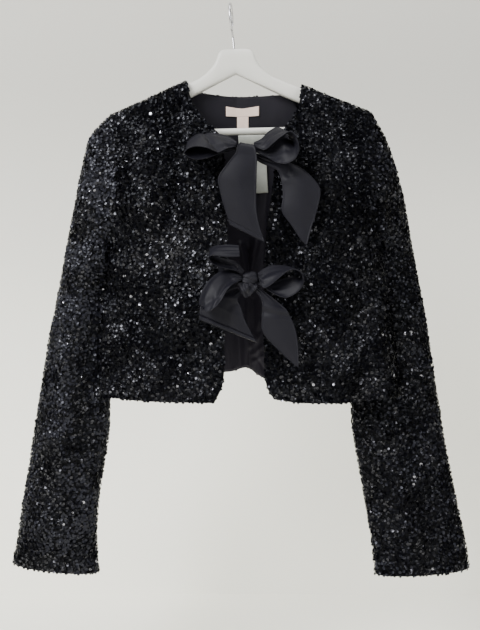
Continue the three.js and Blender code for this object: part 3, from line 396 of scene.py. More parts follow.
def sleeve_grid(side_name, around=96, between=7):
    """Rings from the armhole down to the cuff; the sleeve's head fades from one to the other."""
    side = SIDES[side_name]
    angle = np.linspace(0, 2 * math.pi, around, endpoint=False)
    degrees = np.degrees(angle)
    on_front = angle <= math.pi
    share = np.where(on_front, angle, 2 * math.pi - angle) / math.pi
    front = with_depth(curve([side["tip"], *side["front_arm"]], share), front_y)
    back = with_depth(curve([side["tip"], *side["back_arm"]], share), back_y)
    hole = np.where(on_front[:, None], front, back)
    bulge = (hole[0, 0] + hole[around // 2, 0]) / 2 - hole[:, 0].mean()
    rings = [hole + np.array([side["sign"] * ARMHOLE_GAP, 0, 0])]
    out, ahead = np.cos(angle), np.sin(angle)
    for k, row in enumerate(SLEEVES[side_name]):
        fade = max(0.0, 1 - (k + 1) / SLEEVE_HEAD_ROWS)
        full = bulge * SLEEVE_HEAD_FULLNESS * fade
        depth = row["half"] + crease_height(SLEEVE_CREASES[side_name], k, degrees)
        x = lerp(row["inX"], row["outX"], (1 + out) / 2) - full * ahead ** 2
        z = lerp(row["inZ"], row["outZ"], (1 + out) / 2)
        rings.append(np.stack([x, row["back"] - depth * ahead, z], axis=-1))
    rings = np.array(rings)
    last = len(rings) - 1
    rows = []
    for i in range(last * between + 1):
        k = min(i // between, last - 1)
        w = i / between - k
        a, b, c, d = (rings[min(max(k + s, 0), last)] for s in (-1, 0, 1, 2))
        t1, t2 = (c - a) / 2, (d - b) / 2
        rows.append(cubic(b, c, t1, t2, w))
    return np.array(rows)


LINING_EDGES = {
    "left": [(-58, -113), (-84, -190), (-96, -300), (-98, -400), (-96, -500)],
    "right": [(77, -120), (106, -190), (118, -300), (122, -400), (124, -501)],
    "top": [(-58, -113), (-30, -117.5), (11, -119.5), (52, -119.5), (77, -120)],
    "bottom": [(-96, -500), (-30, -496), (15, -494.5), (60, -496), (124, -501)],
}
# Creases are pressed along lines: from and to, across and along the cloth, width and height
PRESSED = "x0 s0 x1 s1 wide high"
# The lining's run into its hem and down behind the front edges
LINING_CREASES = named(PRESSED, [
    (17, -452, 14, -495, 3.0, 2.4),
    (40, -440, 20, -462, 3.4, 1.8),
    (44, -456, 23, -472, 2.8, 1.7),
    (46, -470, 25, -482, 2.6, 1.5),
    (33, -425, 24, -448, 3.2, 1.6),
    (2, -446, 6, -492, 3.4, 1.5),
    (-9, -440, -5, -490, 3.2, -1.3),
    (12, -420, 10, -445, 3.0, -1.4),
    (30, -478, 44, -505, 3.0, -1.5),
    (21, -230, 24, -330, 3.4, 1.5),
    (33, -235, 31, -310, 3.2, -1.3),
    (43, -240, 38, -345, 3.4, 1.4),
    (6, -318, 16, -362, 4.2, 4.2),
    (29, -312, 20, -358, 4.4, 4.6),
    (17, -325, 18, -372, 3.2, -3.2),
    (11, -400, 9, -440, 4.4, 3.0),
    (25, -395, 27, -440, 4.0, -3.0),
])


def lining_grid():
    rows, cols = np.linspace(0, 1, 200), np.linspace(0, 1, 130)
    sides = curve(LINING_EDGES["left"], rows), curve(LINING_EDGES["right"], rows)
    ends = curve(LINING_EDGES["top"], cols), waved(curve(LINING_EDGES["bottom"], cols))
    grid = with_depth(blended(*sides, *ends, rows, cols), lining_y)
    grid[..., 1] -= pressed_height(LINING_CREASES, grid[..., 0], grid[..., 2])
    return grid


# ---------------------------------------------------------------- meshes

def mesh_object(name, vertices, faces, materials, face_material=None):
    mesh = bpy.data.meshes.new(name)
    points = np.asarray(vertices, float).reshape(-1, 3) * METRE
    points[:, 0] += HOOK_OFFSET * METRE
    faces = np.asarray(faces, np.int32)
    mesh.vertices.add(len(points))
    mesh.vertices.foreach_set("co", points.ravel())
    mesh.loops.add(faces.size)
    mesh.loops.foreach_set("vertex_index", faces.ravel())
    mesh.polygons.add(len(faces))
    mesh.polygons.foreach_set("loop_start", np.arange(len(faces), dtype=np.int32) * faces.shape[1])
    for material in materials:
        mesh.materials.append(material)
    if face_material is not None:
        mesh.polygons.foreach_set("material_index", np.asarray(face_material, np.int32))
    mesh.update(calc_edges=True)
    mesh.validate()
    mesh.polygons.foreach_set("use_smooth", np.full(len(mesh.polygons), True))
    obj = bpy.data.objects.new(name, mesh)
    bpy.context.scene.collection.objects.link(obj)
    return obj


def grid_normals(grid, closed, toward):
    if closed:
        du = np.roll(grid, -1, axis=1) - np.roll(grid, 1, axis=1)
    else:
        du = np.gradient(grid, axis=1)
    dv = np.gradient(grid, axis=0)
    n = np.cross(du, dv)
    n /= np.linalg.norm(n, axis=2, keepdims=True) + 1e-9
    side = np.sum(n * toward, axis=2, keepdims=True)
    return np.where(side < 0, -n, n)


def wall(name, grid, inward, thick, outside, inside, closed=False):
    """A closed cloth wall: the grid is its outer face, and inward leads to its inner face."""
    rows, cols = grid.shape[:2]
    points = np.concatenate([grid.reshape(-1, 3), (grid + inward * thick).reshape(-1, 3)])
    n = rows * cols
    i, j = np.meshgrid(np.arange(rows - 1), np.arange(cols if closed else cols - 1), indexing="ij")
    a = (i * cols + j).ravel()
    b = (i * cols + (j + 1) % cols).ravel()
    quads = [np.stack([a, b, b + cols, a + cols], 1), np.stack([a + cols, b + cols, b, a], 1) + n]
    k = np.arange(cols if closed else cols - 1)
    kk, end = (k + 1) % cols, (rows - 1) * cols
    quads.append(np.stack([k + n, kk + n, kk, k], 1))
    quads.append(np.stack([k + end, kk + end, kk + end + n, k + end + n], 1))
    if not closed:
        r = np.arange(rows - 1) * cols
        s = r + cols - 1
        quads.append(np.stack([r, r + cols, r + cols + n, r + n], 1))
        quads.append(np.stack([s + n, s + cols + n, s + cols, s], 1))
    count = len(quads[0])
    faces = np.concatenate(quads)
    centre_in = grid[rows // 2, cols // 4] + inward[rows // 2, cols // 4]
    q = points[faces[(rows // 2) * (cols if closed else cols - 1) + cols // 4]]
    if np.dot(np.cross(q[1] - q[0], q[3] - q[0]), centre_in - grid[rows // 2, cols // 4]) > 0:
        faces = faces[:, ::-1]
    index = np.zeros(len(faces), int)
    index[count:2 * count] = 1
    return mesh_object(name, points, faces, [outside, inside], index)


def loft(name, rings, material):
    """A solid through closed rings, with a fan at each end."""
    rings = np.asarray(rings, float)
    m, n = rings.shape[:2]
    points = np.concatenate([rings.reshape(-1, 3), [rings[0].mean(0)], [rings[-1].mean(0)]])
    faces = []
    for i in range(m - 1):
        for j in range(n):
            a, b = i * n + j, i * n + (j + 1) % n
            faces += [(a, b, b + n), (a, b + n, a + n)]
    for j in range(n):
        k = (j + 1) % n
        faces += [(m * n, k, j), (m * n + 1, (m - 1) * n + j, (m - 1) * n + k)]
    return mesh_object(name, points, faces, [material])


def join(piece, node=None):
    """Puts a piece on the one body, in place of its plain solid if it has one."""
    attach(piece, "root")
    if node:
        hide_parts(node)


# ---------------------------------------------------------------- materials

class Sum:
    """A shader value that can be worked with in Python expressions."""

    def __init__(self, tree, socket):
        self.tree, self.socket = tree, socket

    def work(self, operation, a, b):
        node = self.tree.nodes.new("ShaderNodeMath")
        node.operation = operation
        for put, value in zip(node.inputs, (a, b)):
            if isinstance(value, Sum):
                self.tree.links.new(value.socket, put)
            else:
                put.default_value = value
        return Sum(self.tree, node.outputs[0])

    def __add__(self, other):
        return self.work("ADD", self, other)

    def __radd__(self, other):
        return self.work("ADD", other, self)

    def __sub__(self, other):
        return self.work("SUBTRACT", self, other)

    def __rsub__(self, other):
        return self.work("SUBTRACT", other, self)

    def __mul__(self, other):
        return self.work("MULTIPLY", self, other)

    def __rmul__(self, other):
        return self.work("MULTIPLY", other, self)


class Finish:
    """One material with a Principled shader; node() adds any other node."""

    def __init__(self, name, **constants):
        self.material = bpy.data.materials.new(name)
        self.material.use_nodes = True
        self.tree = self.material.node_tree
        self.shader = self.tree.nodes["Principled BSDF"]
        for key, value in constants.items():
            self.shader.inputs[key.replace("_", " ")].default_value = value

    def node(self, kind, settings=None, out=0, **sockets):
        """A node with its settings; i0, i6 and the like name a socket by its number."""
        made = self.tree.nodes.new(kind)
        for key, value in (settings or {}).items():
            setattr(made, key, value)
        for key, value in sockets.items():
            numbered = key[0] == "i" and key[1:].isdigit()
            put = made.inputs[int(key[1:]) if numbered else key.replace("_", " ")]
            if isinstance(value, Sum):
                self.tree.links.new(value.socket, put)
            else:
                put.default_value = value
        return Sum(self.tree, made.outputs[out])

    def place(self):
        return self.node("ShaderNodeTexCoord", out=3)

    def stretched(self, x, y, z):
        return self.node("ShaderNodeMapping", Vector=self.place(), Scale=(x, y, z))

    def grain(self, scale, detail=3.0, rough=0.55, where=None):
        where = where or self.place()
        return self.node("ShaderNodeTexNoise", Vector=where, Scale=scale, Detail=detail, Roughness=rough)

    def height(self):
        return self.node("ShaderNodeSeparateXYZ", out=2, Vector=self.place())

    def between(self, value, start, end, **settings):
        """How far a value has gone from start to end, as a share."""
        return self.node("ShaderNodeMapRange", settings, Value=value, From_Min=start, From_Max=end)

    def feed(self, socket, value):
        self.tree.links.new(value.socket, self.shader.inputs[socket])

    def bump(self, height, strength, distance):
        normal = self.node("ShaderNodeBump", Height=height, Strength=strength, Distance=distance)
        self.feed("Normal", normal)

    def tint(self, mask, dark, light):
        colours = {"i6": (*dark, 1), "i7": (*light, 1)}
        mix = self.node("ShaderNodeMix", {"data_type": "RGBA"}, out=2, i0=mask, **colours)
        self.feed("Base Color", mix)


def knit_backing():
    black = (0.003, 0.003, 0.0035, 1)
    f = Finish("knit_backing", Base_Color=black, Roughness=0.9, Specular_IOR_Level=0.1)
    f.bump(f.grain(900, 2), 0.4, 0.0004)
    return f.material


def sequin_finish(name, grey, roughness, level, metal=0.0):
    """Black plastic discs look navy where they are dark and plain grey where they mirror the light."""
    blue = 1.12 if metal else 1.6
    f = Finish(name, Base_Color=(grey, grey, grey * blue, 1), Roughness=roughness, Metallic=metal,
               Specular_IOR_Level=level)
    f.shader.inputs["Specular Tint"].default_value = (0.86, 0.89, 1.0, 1)
    return f.material


def lining_satin():
    f = Finish("lining_satin", Specular_IOR_Level=0.16)
    soft = f.grain(26, 3, where=f.stretched(1.0, 1.0, 0.22))
    # Painted light: the lining is tinted lighter towards its lower part, where light reaches it, and
    # darker up at the neck, where it lies in shade
    painted_light_low = f.between(f.height(), -0.18, -0.27)
    f.tint(soft * 0.5 + painted_light_low * 0.7, (0.0033, 0.0032, 0.0056), (0.0185, 0.0165, 0.0240))
    f.feed("Roughness", 0.42 + 0.16 * f.grain(60, 2))
    f.bump(soft + 0.04 * f.grain(2400, 1), 0.35, 0.004)
    return f.material


def ribbon_satin():
    f = Finish("ribbon_satin", Specular_IOR_Level=0.13)
    soft = f.grain(38, 2, 0.5)
    f.tint(soft, (0.0050, 0.0049, 0.0078), (0.0088, 0.0086, 0.0124))
    f.feed("Roughness", 0.46 + 0.14 * f.grain(70, 2))
    f.bump(soft * 0.5 + 0.03 * f.grain(2600, 1), 0.25, 0.002)
    return f.material


def white_paint():
    f = Finish("white_paint", Coat_Weight=0.15, Coat_Roughness=0.3)
    grain = f.grain(30, 4, 0.6, f.stretched(0.25, 2.2, 2.2))
    f.tint(grain, (0.52, 0.515, 0.48), (0.585, 0.58, 0.54))
    f.feed("Roughness", 0.36 + 0.15 * f.grain(55, 2))
    f.bump(grain + 0.15 * f.grain(500, 2), 0.12, 0.001)
    return f.material


def steel_wire():
    f = Finish("steel_wire", Base_Color=(0.55, 0.55, 0.57, 1), Metallic=1.0)
    f.feed("Roughness", 0.2 + 0.15 * f.grain(300, 3))
    f.bump(f.grain(900, 2), 0.1, 0.0002)
    return f.material


def woven_label(name, warp, weft, threads):
    f = Finish(name, Roughness=0.75, Specular_IOR_Level=0.2)
    up, along = (
        f.node("ShaderNodeTexWave", {"bands_direction": axis}, out=1, Vector=f.place(),
               Scale=threads * close, Distortion=0.4, Detail=1.0)
        for axis, close in (("Z", 1.0), ("X", 1.3))
    )
    weave = up * 0.5 + along * 0.5
    f.tint(weave * 0.6 + 0.4 * f.grain(160, 2), warp, weft)
    f.bump(weave, 0.35, 0.0003)
    return f.material


BACKING = knit_backing()
SEQUINS = [
    sequin_finish("sequin_black", 0.0013, 0.20, 0.05),
    sequin_finish("sequin_soft", 0.0020, 0.32, 0.11),
    # Painted glints: the grey and bright discs are lit copies of the black ones
    sequin_finish("sequin_glint", 0.030, 0.26, 0.5, 0.8),
    sequin_finish("sequin_bright", 0.22, 0.18, 1.0, 1.0),
    sequin_finish("sequin_dusk", 0.0060, 0.36, 0.26),
]
LINING = lining_satin()
RIBBON = ribbon_satin()
PAINT = white_paint()
STEEL = steel_wire()
NECK_LABEL = woven_label("neck_label_weave", (0.62, 0.47, 0.40), (0.82, 0.68, 0.60), 900)
# Painted shade: the care label's pale cloth is given a dull grey-green weave, darker than the cloth, for
# the shade it hangs in behind the bow
CARE_LABEL = woven_label("care_label_weave", (0.26, 0.27, 0.245), (0.46, 0.47, 0.43), 1100)


# ---------------------------------------------------------------- sequinned cloth

rng = np.random.default_rng(7)
BACKING_WALL = 1.0
CLOTH_PER_SEQUIN = 9.0
SEQUIN_RADIUS = 2.1
SEQUIN_CORNERS = 6
SEQUIN_CUP = 0.35
# How far discs lean with their neighbours, over patches of a size, and each by itself
LEAN_TOGETHER, LEAN_PATCH, LEAN_ALONE = 0.55, 34, 0.30
# Painted glints: the grey, mirroring discs stand in for light caught by tilted black discs, and lie in
# clusters of two sizes
GLINT_WIDE, GLINT_FINE = 42, 13
BLACK, SOFT, GLINT, BRIGHT, DUSK = range(5)
# How many of the dark discs are dusk grey: the sleeves catch more light than the body
DUSK_SHARE = {"sleeve_right_sequins": 0.95, "sleeve_left_sequins": 0.25}
# Painted highlight: more grey and mirroring discs on the right front, where the light falls: its middle,
# and its reach across and down
LIGHT_X, LIGHT_Z, LIGHT_WIDE, LIGHT_TALL = -66, -318, 62, 74


def noise_at(points, size, seed):
    shift = Vector((seed * 7.3, seed * 3.1, seed * 5.7))
    return np.array([noise.noise(Vector(p) / size + shift) for p in points])


def sewn_places(grid, outward, closed):
    """Points spread over a grid of cloth by its area, with the outward direction at each."""
    g = np.concatenate([grid, grid[:, :1]], axis=1) if closed else grid
    m = np.concatenate([outward, outward[:, :1]], axis=1) if closed else outward
    a, b, c, d = g[:-1, :-1], g[:-1, 1:], g[1:, 1:], g[1:, :-1]
    area = np.linalg.norm(np.cross(c - a, d - b), axis=2) / 2
    wanted = np.cumsum((area / CLOTH_PER_SEQUIN).ravel())
    total = int(wanted[-1])
    pick = np.searchsorted(wanted, np.arange(total) + rng.random(total) * 0.9 + 0.05)
    i, j = np.unravel_index(np.minimum(pick, area.size - 1), area.shape)
    u, v = rng.random(total)[:, None], rng.random(total)[:, None]
    centre = lerp(lerp(a[i, j], b[i, j], u), lerp(d[i, j], c[i, j], u), v)
    return centre, unit(lerp(lerp(m[i, j], m[i, j + 1], u), lerp(m[i + 1, j], m[i + 1, j + 1], u), v))


def cupped_discs(centre, out):
    """The corners and faces of one small cupped disc at each place."""
    total = len(centre)
    lie = np.stack([noise_at(centre, LEAN_PATCH, s) for s in (1, 2, 3)], axis=1) * LEAN_TOGETHER
    facing = unit(out + lie + rng.normal(0, LEAN_ALONE, (total, 3)))
    hang = unit(np.cross(facing, rng.normal(0, 1, (total, 3))))
    side = np.cross(facing, hang)
    radius = SEQUIN_RADIUS * rng.uniform(0.9, 1.1, total)[:, None, None]
    base = centre + out * rng.uniform(0.7, 1.9, total)[:, None]
    turn = (np.arange(SEQUIN_CORNERS) * 2 * math.pi / SEQUIN_CORNERS)[None, :, None]
    rim = base[:, None] + radius * (np.cos(turn) * hang[:, None] + np.sin(turn) * side[:, None])
    cup = base - facing * SEQUIN_CUP
    points = np.concatenate([cup[:, None], rim], axis=1).reshape(-1, 3)
    middle = np.arange(total)[:, None].repeat(SEQUIN_CORNERS, axis=1) * (SEQUIN_CORNERS + 1)
    corner = np.arange(SEQUIN_CORNERS)[None]
    after = (corner + 1) % SEQUIN_CORNERS
    return points, np.stack([middle, middle + 1 + corner, middle + 1 + after], axis=2).reshape(-1, 3)


def disc_kinds(name, centre):
    """The finish of each disc: grey, mirroring and softly glossy discs are painted glints, lying in
    clusters on a black ground.
    """
    glint_clusters = noise_at(centre, GLINT_WIDE, 5) + 0.75 * noise_at(centre, GLINT_FINE, 6)
    across_light = (centre[:, 0] - LIGHT_X) / LIGHT_WIDE
    down_light = (centre[:, 2] - LIGHT_Z) / LIGHT_TALL
    # Painted highlight: the share of grey and bright discs grows where the light falls on the right
    # front
    painted_light_patch = np.exp(-(across_light ** 2) - down_light ** 2) * (centre[:, 1] < 0)
    draw = rng.random(len(centre))
    dark = np.where(rng.random(len(centre)) < DUSK_SHARE.get(name, 0.0), DUSK, BLACK)
    glint_share = 0.03 + 0.30 * np.clip(glint_clusters * 2.0 + 0.15, 0, 1) + 0.30 * painted_light_patch
    bright = 0.0035 + 0.004 * painted_light_patch
    soft = 0.36 + 0.3 * np.clip(glint_clusters * 2.0, -1, 1)
    light = [draw < bright, draw < bright + glint_share, draw > 1 - soft]
    return np.select(light, [BRIGHT, GLINT, SOFT], dark)


def sequins(name, grid, outward, closed=False):
    """Small cupped discs sewn all over a grid of cloth, each with its own tilt."""
    centre, out = sewn_places(grid, outward, closed)
    points, faces = cupped_discs(centre, out)
    kinds = np.repeat(disc_kinds(name, centre), SEQUIN_CORNERS)
    return mesh_object(name, points, faces, SEQUINS, kinds)


def dress(node, grid, toward, slot, flat, area, closed=False):
    """The cloth of one sewn piece with its sequins, in place of its plain solid."""
    inward = grid_normals(grid, closed, toward)
    cloth = wall(node + "_cloth", grid, inward, BACKING_WALL, BACKING, LINING, closed)
    spangles = sequins(node + "_sequins", grid, -inward, closed)
    join(cloth, node)
    join(spangles)


# ---------------------------------------------------------------- ribbons

RIBBON_ROW = "aX aY aZ bX bY bZ belly"
RIBBONS = {
    "upper_loop_right": named(RIBBON_ROW, [
        (1.4, -54, -198.5, 1.4, -57, -204, 0),
        (-9.9, -47, -189.4, -9.6, -64, -209.1, 2),
        (-27.9, -45.5, -185.2, -23.1, -72, -214.9, 4),
        (-42, -45, -184.4, -36.4, -78, -211.5, 4),
        (-53.6, -45, -188.9, -49.8, -80, -210.7, 2),
        (-61.2, -45, -196.6, -59.7, -79, -214.2, 1),
        (-62.5, -45, -204.3, -63, -77, -218.6, 0),
        (-56.1, -55, -205.5, -56.4, -75, -223.7, 0),
        (-40.7, -57, -204, -39.3, -71, -224.6, 0),
        (-22.7, -53.5, -202, -22.2, -64, -216, 0),
        (-9.9, -49, -202.1, -9.7, -58, -209.5, 0),
        (1.6, -51.5, -204.5, 1.6, -54.5, -208.5, 0),
    ]),
    "upper_loop_left": named(RIBBON_ROW, [
        (22.9, -54, -199, 22.9, -57, -204, 0),
        (33.5, -47.5, -192.1, 36.7, -63, -210.1, 1),
        (42.5, -46.5, -182.9, 47.6, -72, -203.7, 2),
        (52.8, -46, -177.6, 58.3, -79, -197, 2),
        (61.7, -47, -181.8, 67.9, -82, -192.9, 1),
        (68, -48, -188.4, 75.1, -83, -200.5, 0),
        (69.7, -50, -196, 78.3, -82, -212.5, 0),
        (66.5, -60, -197, 75.5, -79, -222.8, 0),
        (57.5, -62, -194.5, 65.9, -76, -229.5, 1),
        (47.3, -54, -204, 52.5, -70, -229, 1),
        (37.8, -52.5, -210, 40.5, -61, -220, 0),
        (22.6, -51.5, -205, 22.6, -54.5, -209.5, 0),
    ]),
    "upper_tail_right": named(RIBBON_ROW, [
        (6, -59.5, -200, 21, -59.5, -202.5, 0),
        (2.5, -62.5, -204.6, 24.3, -62.5, -208, 0),
        (-0.2, -62, -213.6, 26.5, -62.3, -218.7, 0),
        (-9.7, -60.5, -225.8, 26.3, -61.5, -233.6, 2),
        (-22, -57.5, -244.1, 25.9, -60, -252.1, 3),
        (-19.9, -55, -258.7, 25.6, -58, -269.4, 3),
        (-15.6, -52.5, -276, 26.4, -56, -286.7, 2),
        (-11.1, -50.5, -289.7, 29.5, -54, -301.6, 1),
        (-7.4, -49, -302.2, 37.2, -52, -325.5, 0),
    ]),
    "upper_tail_left": named(RIBBON_ROW, [
        (15, -51, -212.9, 22.6, -51, -210.7, 0),
        (34, -48.2, -224, 52, -48.2, -218, 0),
        (52.6, -49, -232.1, 82.3, -52, -230.2, 2),
        (58.9, -50, -248.9, 100.4, -55, -247.3, 4),
        (60.2, -49.5, -266.6, 106.7, -55, -258.7, 4),
        (59, -48.5, -284.3, 103.2, -52.5, -283.6, 3),
        (71.8, -48, -303.4, 95.8, -50, -307.4, 1),
        (84.1, -48, -322.5, 90.9, -48.5, -327.7, 0),
    ]),
    "lower_roll": named(RIBBON_ROW, [
        (10.4, -52.5, -361.4, 8.7, -57, -366, 0),
        (-1, -49.5, -349.4, -0.9, -62, -361.8, 1),
        (-16.3, -48, -345.5, -17, -69, -358.5, 1),
        (-27.8, -48, -341.7, -29.2, -75, -354, 1),
        (-32.7, -53, -336.4, -33.4, -78, -347.5, 2),
        (-28.6, -59, -331.9, -29.1, -78, -344.4, 3),
        (-13.5, -59, -329.4, -13.1, -78, -345.6, 3),
        (4.1, -58, -330, 5.4, -76, -345.4, 3),
    ]),
    "lower_loop_right": named(RIBBON_ROW, [
        (7.9, -54.5, -368.8, 7.9, -59, -373, 0),
        (-4.7, -53.5, -360.6, -2.1, -66, -378.3, 1),
        (-20, -54, -363.8, -10.7, -72, -387.2, 3),
        (-32.6, -55, -372.7, -18, -76, -399.7, 4),
        (-40.8, -55.5, -384.1, -26, -78, -409.6, 3),
        (-44.6, -56, -395.5, -34, -77, -413.3, 2),
        (-44.5, -57, -404.4, -40.4, -73, -409.6, 0),
        (-37.5, -57.5, -401.9, -37, -67, -404.5, 0),
        (-23.6, -57.5, -393, -23.4, -65, -397, 0),
        (-8.5, -57, -382.9, -8.4, -62, -386.9, 0),
        (8.5, -55, -376.5, 9.2, -58.5, -380.5, 0),
    ]),
    "lower_tail_right": named(RIBBON_ROW, [
        (7, -52, -383, 17.5, -54.8, -380.3, 0),
        (-8.6, -51, -387.7, 2.9, -56, -396.8, 1),
        (-29, -49.5, -389, 6.7, -55.5, -408.1, 2),
        (-42.4, -49, -397.9, 10.5, -55, -420.8, 3),
        (-45.6, -49.5, -410.6, 17.8, -54, -436, 2),
        (-45.8, -50.5, -423.4, 27, -53, -452, 1),
    ]),
    "lower_loop_left": named(RIBBON_ROW, [
        (28.2, -53.5, -364.5, 28.2, -58, -370, 0),
        (36, -50, -358.4, 35.4, -66, -383.3, 2),
        (46.3, -48, -355.1, 45.7, -72, -378.6, 3),
        (57.8, -47, -354.4, 56.5, -77, -369.6, 3),
        (69.4, -46.5, -356.2, 65.6, -79, -362.9, 1),
        (78.9, -47, -360.7, 75.5, -79, -361.7, 0),
        (82.7, -48, -367.2, 82.9, -78, -367.8, 0),
        (80.6, -60, -371, 84.5, -75, -378.1, 0),
        (71.5, -62, -369, 77.3, -72, -388.5, 0),
        (58.7, -56, -371.5, 62.7, -69, -395.8, 1),
        (44.7, -53, -377, 47.9, -65, -392, 0),
        (27.6, -53, -372.5, 27.6, -57, -378, 0),
    ]),
    "lower_tail_left": named(RIBBON_ROW, [
        (20, -55.4, -380.3, 30, -56.5, -382.5, 0),
        (33, -55, -399, 55, -56, -402, 1),
        (33, -55, -418, 66, -57, -414, 3),
        (34, -53, -437, 75, -55, -434, 2),
        (55, -51, -462, 79, -53, -456, 1),
        (76, -50, -481, 80, -51, -484, 0),
    ]),
    "upper_end_right": named(RIBBON_ROW, [
        (-28, None, -184, -28, None, -208, 0),
        (-20, None, -190, -20, None, -209, 0),
        (-9, -46, -195, -9, -46, -208.5, 0),
        (2.2, -49.5, -200, 2.2, -49.5, -207, 0),
    ]),
    "upper_end_left": named(RIBBON_ROW, [
        (70, None, -180, 66, None, -206, 0),
        (62, None, -186, 59, None, -206, 0),
        (40, -44.8, -193, 40, -44.8, -208, 0),
        (21.9, -49.5, -200, 21.9, -49.5, -207, 0),
    ]),
    "lower_end_right": named(RIBBON_ROW, [
        (-22, None, -350, -22, None, -377, 0),
        (-14, None, -353, -14, None, -377, 0),
        (-2, -46.5, -360, -2, -46.5, -376, 0),
        (9, -49.9, -368.5, 9, -49.9, -375, 0),
    ]),
    "lower_end_left": named(RIBBON_ROW, [
        (50, None, -352, 50, None, -379, 0),
        (42, None, -354, 42, None, -378, 0),
        (35, -46, -361, 35, -46, -377, 0),
        (27.2, -49.9, -367, 27.2, -49.9, -375, 0),
    ]),
}
# Gathers that run out from the wrap: place across the ribbon, width, height, how far they reach
GATHERS = named("across wide high reach", [
    (0.22, 0.10, 0.9, 0.26),
    (0.44, 0.08, -1.0, 0.20),
    (0.60, 0.09, 0.9, 0.32),
    (0.82, 0.08, -0.8, 0.22),
])
# How strong the gathers are: the flat tail of the upper bow has hardly any
GATHERED = {"upper_tail_right": 0.12, "lower_tail_right": 0.7, "lower_tail_left": 0.7}
GATHERED_END = 0.3
# Folds pressed into the ribbons
PRESSED_FOLDS = {
    "upper_loop_right": named(PRESSED, [
        (0, 40, 22, 34, 4.0, -2.2),
        (22, 34, 44, 22, 4.5, -1.8),
        (10, 26, 34, 8, 5.0, 1.2),
        (6, 108, 30, 96, 6.0, 1.6),
    ]),
    "upper_loop_left": named(PRESSED, [
        (8, 14, 24, 44, 4.0, -1.4),
        (14, 122, 30, 96, 5.0, 2.0),
        (24, 134, 36, 108, 4.0, -1.6),
        (6, 110, 18, 84, 5.0, -1.4),
    ]),
    "upper_tail_left": named(PRESSED, [
        (26, 22, 8, 62, 5.0, -2.0),
        (2, 30, 6, 70, 5.0, 1.0),
    ]),
    "upper_tail_right": named(PRESSED, [
        (12, 56, 26, 66, 9.0, -0.5),
        (34, 30, 40, 120, 6.0, -0.4),
    ]),
    "lower_roll": named(PRESSED, [
        (4, 12, 18, 46, 3.0, -1.4),
        (15, 8, 6, 30, 2.6, 1.2),
        (6, 66, 10, 92, 4.0, 0.8),
    ]),
    "lower_loop_right": named(PRESSED, [
        (14, 14, 30, 40, 4.0, -2.4),
        (24, 12, 36, 58, 3.5, 2.0),
        (4, 24, 14, 60, 5.0, 1.8),
        (8, 72, 24, 52, 4.5, -1.8),
    ]),
    "lower_loop_left": named(PRESSED, [
        (18, 12, 26, 44, 5.0, 1.2),
        (8, 8, 14, 44, 4.0, -1.2),
        (10, 124, 26, 100, 4.0, 1.4),
        (24, 130, 32, 104, 3.5, -1.2),
    ]),
    "lower_tail_left": named(PRESSED, [
        (-6, 30, 50, 46, 4.5, 1.4),
        (-6, 37, 50, 53, 3.5, -1.8),
    ]),
    "lower_tail_right": named(PRESSED, [
        (30, 20, 44, 74, 6.0, -1.2),
        (12, 22, 18, 66, 6.0, 0.8),
    ]),
}
# Sewn hems at the slanted ends: their depth and how thick they stand
TAIL_HEMS = {"upper_tail_right": (6.2, 0.9), "lower_tail_right": (6.0, 2.4)}
SELVEDGE = 0.95
HEM_EDGE, HEM_STEP, SEAM_SUNK, SEAM_WIDE = 1.6, 1.4, 1.0, 0.9
RIBBON_STEPS, RIBBON_COLUMNS = 120, 36
RIBBON_WALL = 0.8
END_OVER_FRONT = 1.3


def hem_height(grid, depth, high):
    """A turned and sewn hem over the last millimetres of a ribbon, with the sunk line of its seam."""
    steps = np.linalg.norm(np.diff(grid, axis=0), axis=2)
    left = np.concatenate([np.cumsum(steps[::-1], axis=0)[::-1], np.zeros((1, grid.shape[1]))])
    band = np.sqrt(np.clip(left / HEM_EDGE, 0, 1)) * smooth((depth - left) / HEM_STEP + 0.5)
    return high * band - SEAM_SUNK * np.exp(-(((left - depth - 0.5) / SEAM_WIDE) ** 2))


def gather_height(name, u, along):
    """The gathers that fan out from the wrap, at both ends of a loop and at the head of a tail."""
    loop = "loop" in name or "roll" in name
    lift = np.zeros((len(along), len(u)))
    for g in GATHERS:
        ridge = g["high"] * np.exp(-(((u - g["across"]) / g["wide"]) ** 2))
        near = smooth(1 - along / g["reach"]) + (smooth(1 - (1 - along) / g["reach"]) if loop else 0)
        lift += near[:, None] * ridge[None]
    return lift * (GATHERED_END if "_end_" in name else GATHERED.get(name, 1.0))


def edge_point(row, edge):
    """A point on a ribbon's edge; where it has no depth of its own, it lies on the front."""
    x, y, z = (row[edge + axis] for axis in "XYZ")
    if y is None:
        y = float(front_y(np.array(x, float), np.array(z, float))) - END_OVER_FRONT
    return x, y, z


def ribbon_grid(name):
    rows = RIBBONS[name]
    along, u = np.linspace(0, 1, RIBBON_STEPS), np.linspace(0, 1, RIBBON_COLUMNS)
    a, b = (curve([edge_point(row, edge) for row in rows], along) for edge in "ab")
    belly = np.interp(along * (len(rows) - 1), np.arange(len(rows)), [r["belly"] for r in rows])
    grid = lerp(a[:, None], b[:, None], u[None, :, None])
    grid[..., 1] -= belly[:, None] * np.sin(math.pi * u)[None, :]
    normal = grid_normals(grid, False, FORWARD)
    wide = np.linalg.norm(b - a, axis=1)[:, None]
    steps = np.linalg.norm(np.diff((a + b) / 2, axis=0), axis=1)
    gone = np.concatenate([[0], np.cumsum(steps)])[:, None].repeat(RIBBON_COLUMNS, axis=1)
    lift = gather_height(name, u, along)
    lift += pressed_height(PRESSED_FOLDS.get(name, []), u[None] * wide, gone)
    lift += SELVEDGE * np.exp(-((np.minimum(u, 1 - u)[None] * wide) ** 2))
    if name in TAIL_HEMS:
        lift += hem_height(grid, *TAIL_HEMS[name])
    return grid + normal * lift[..., None]


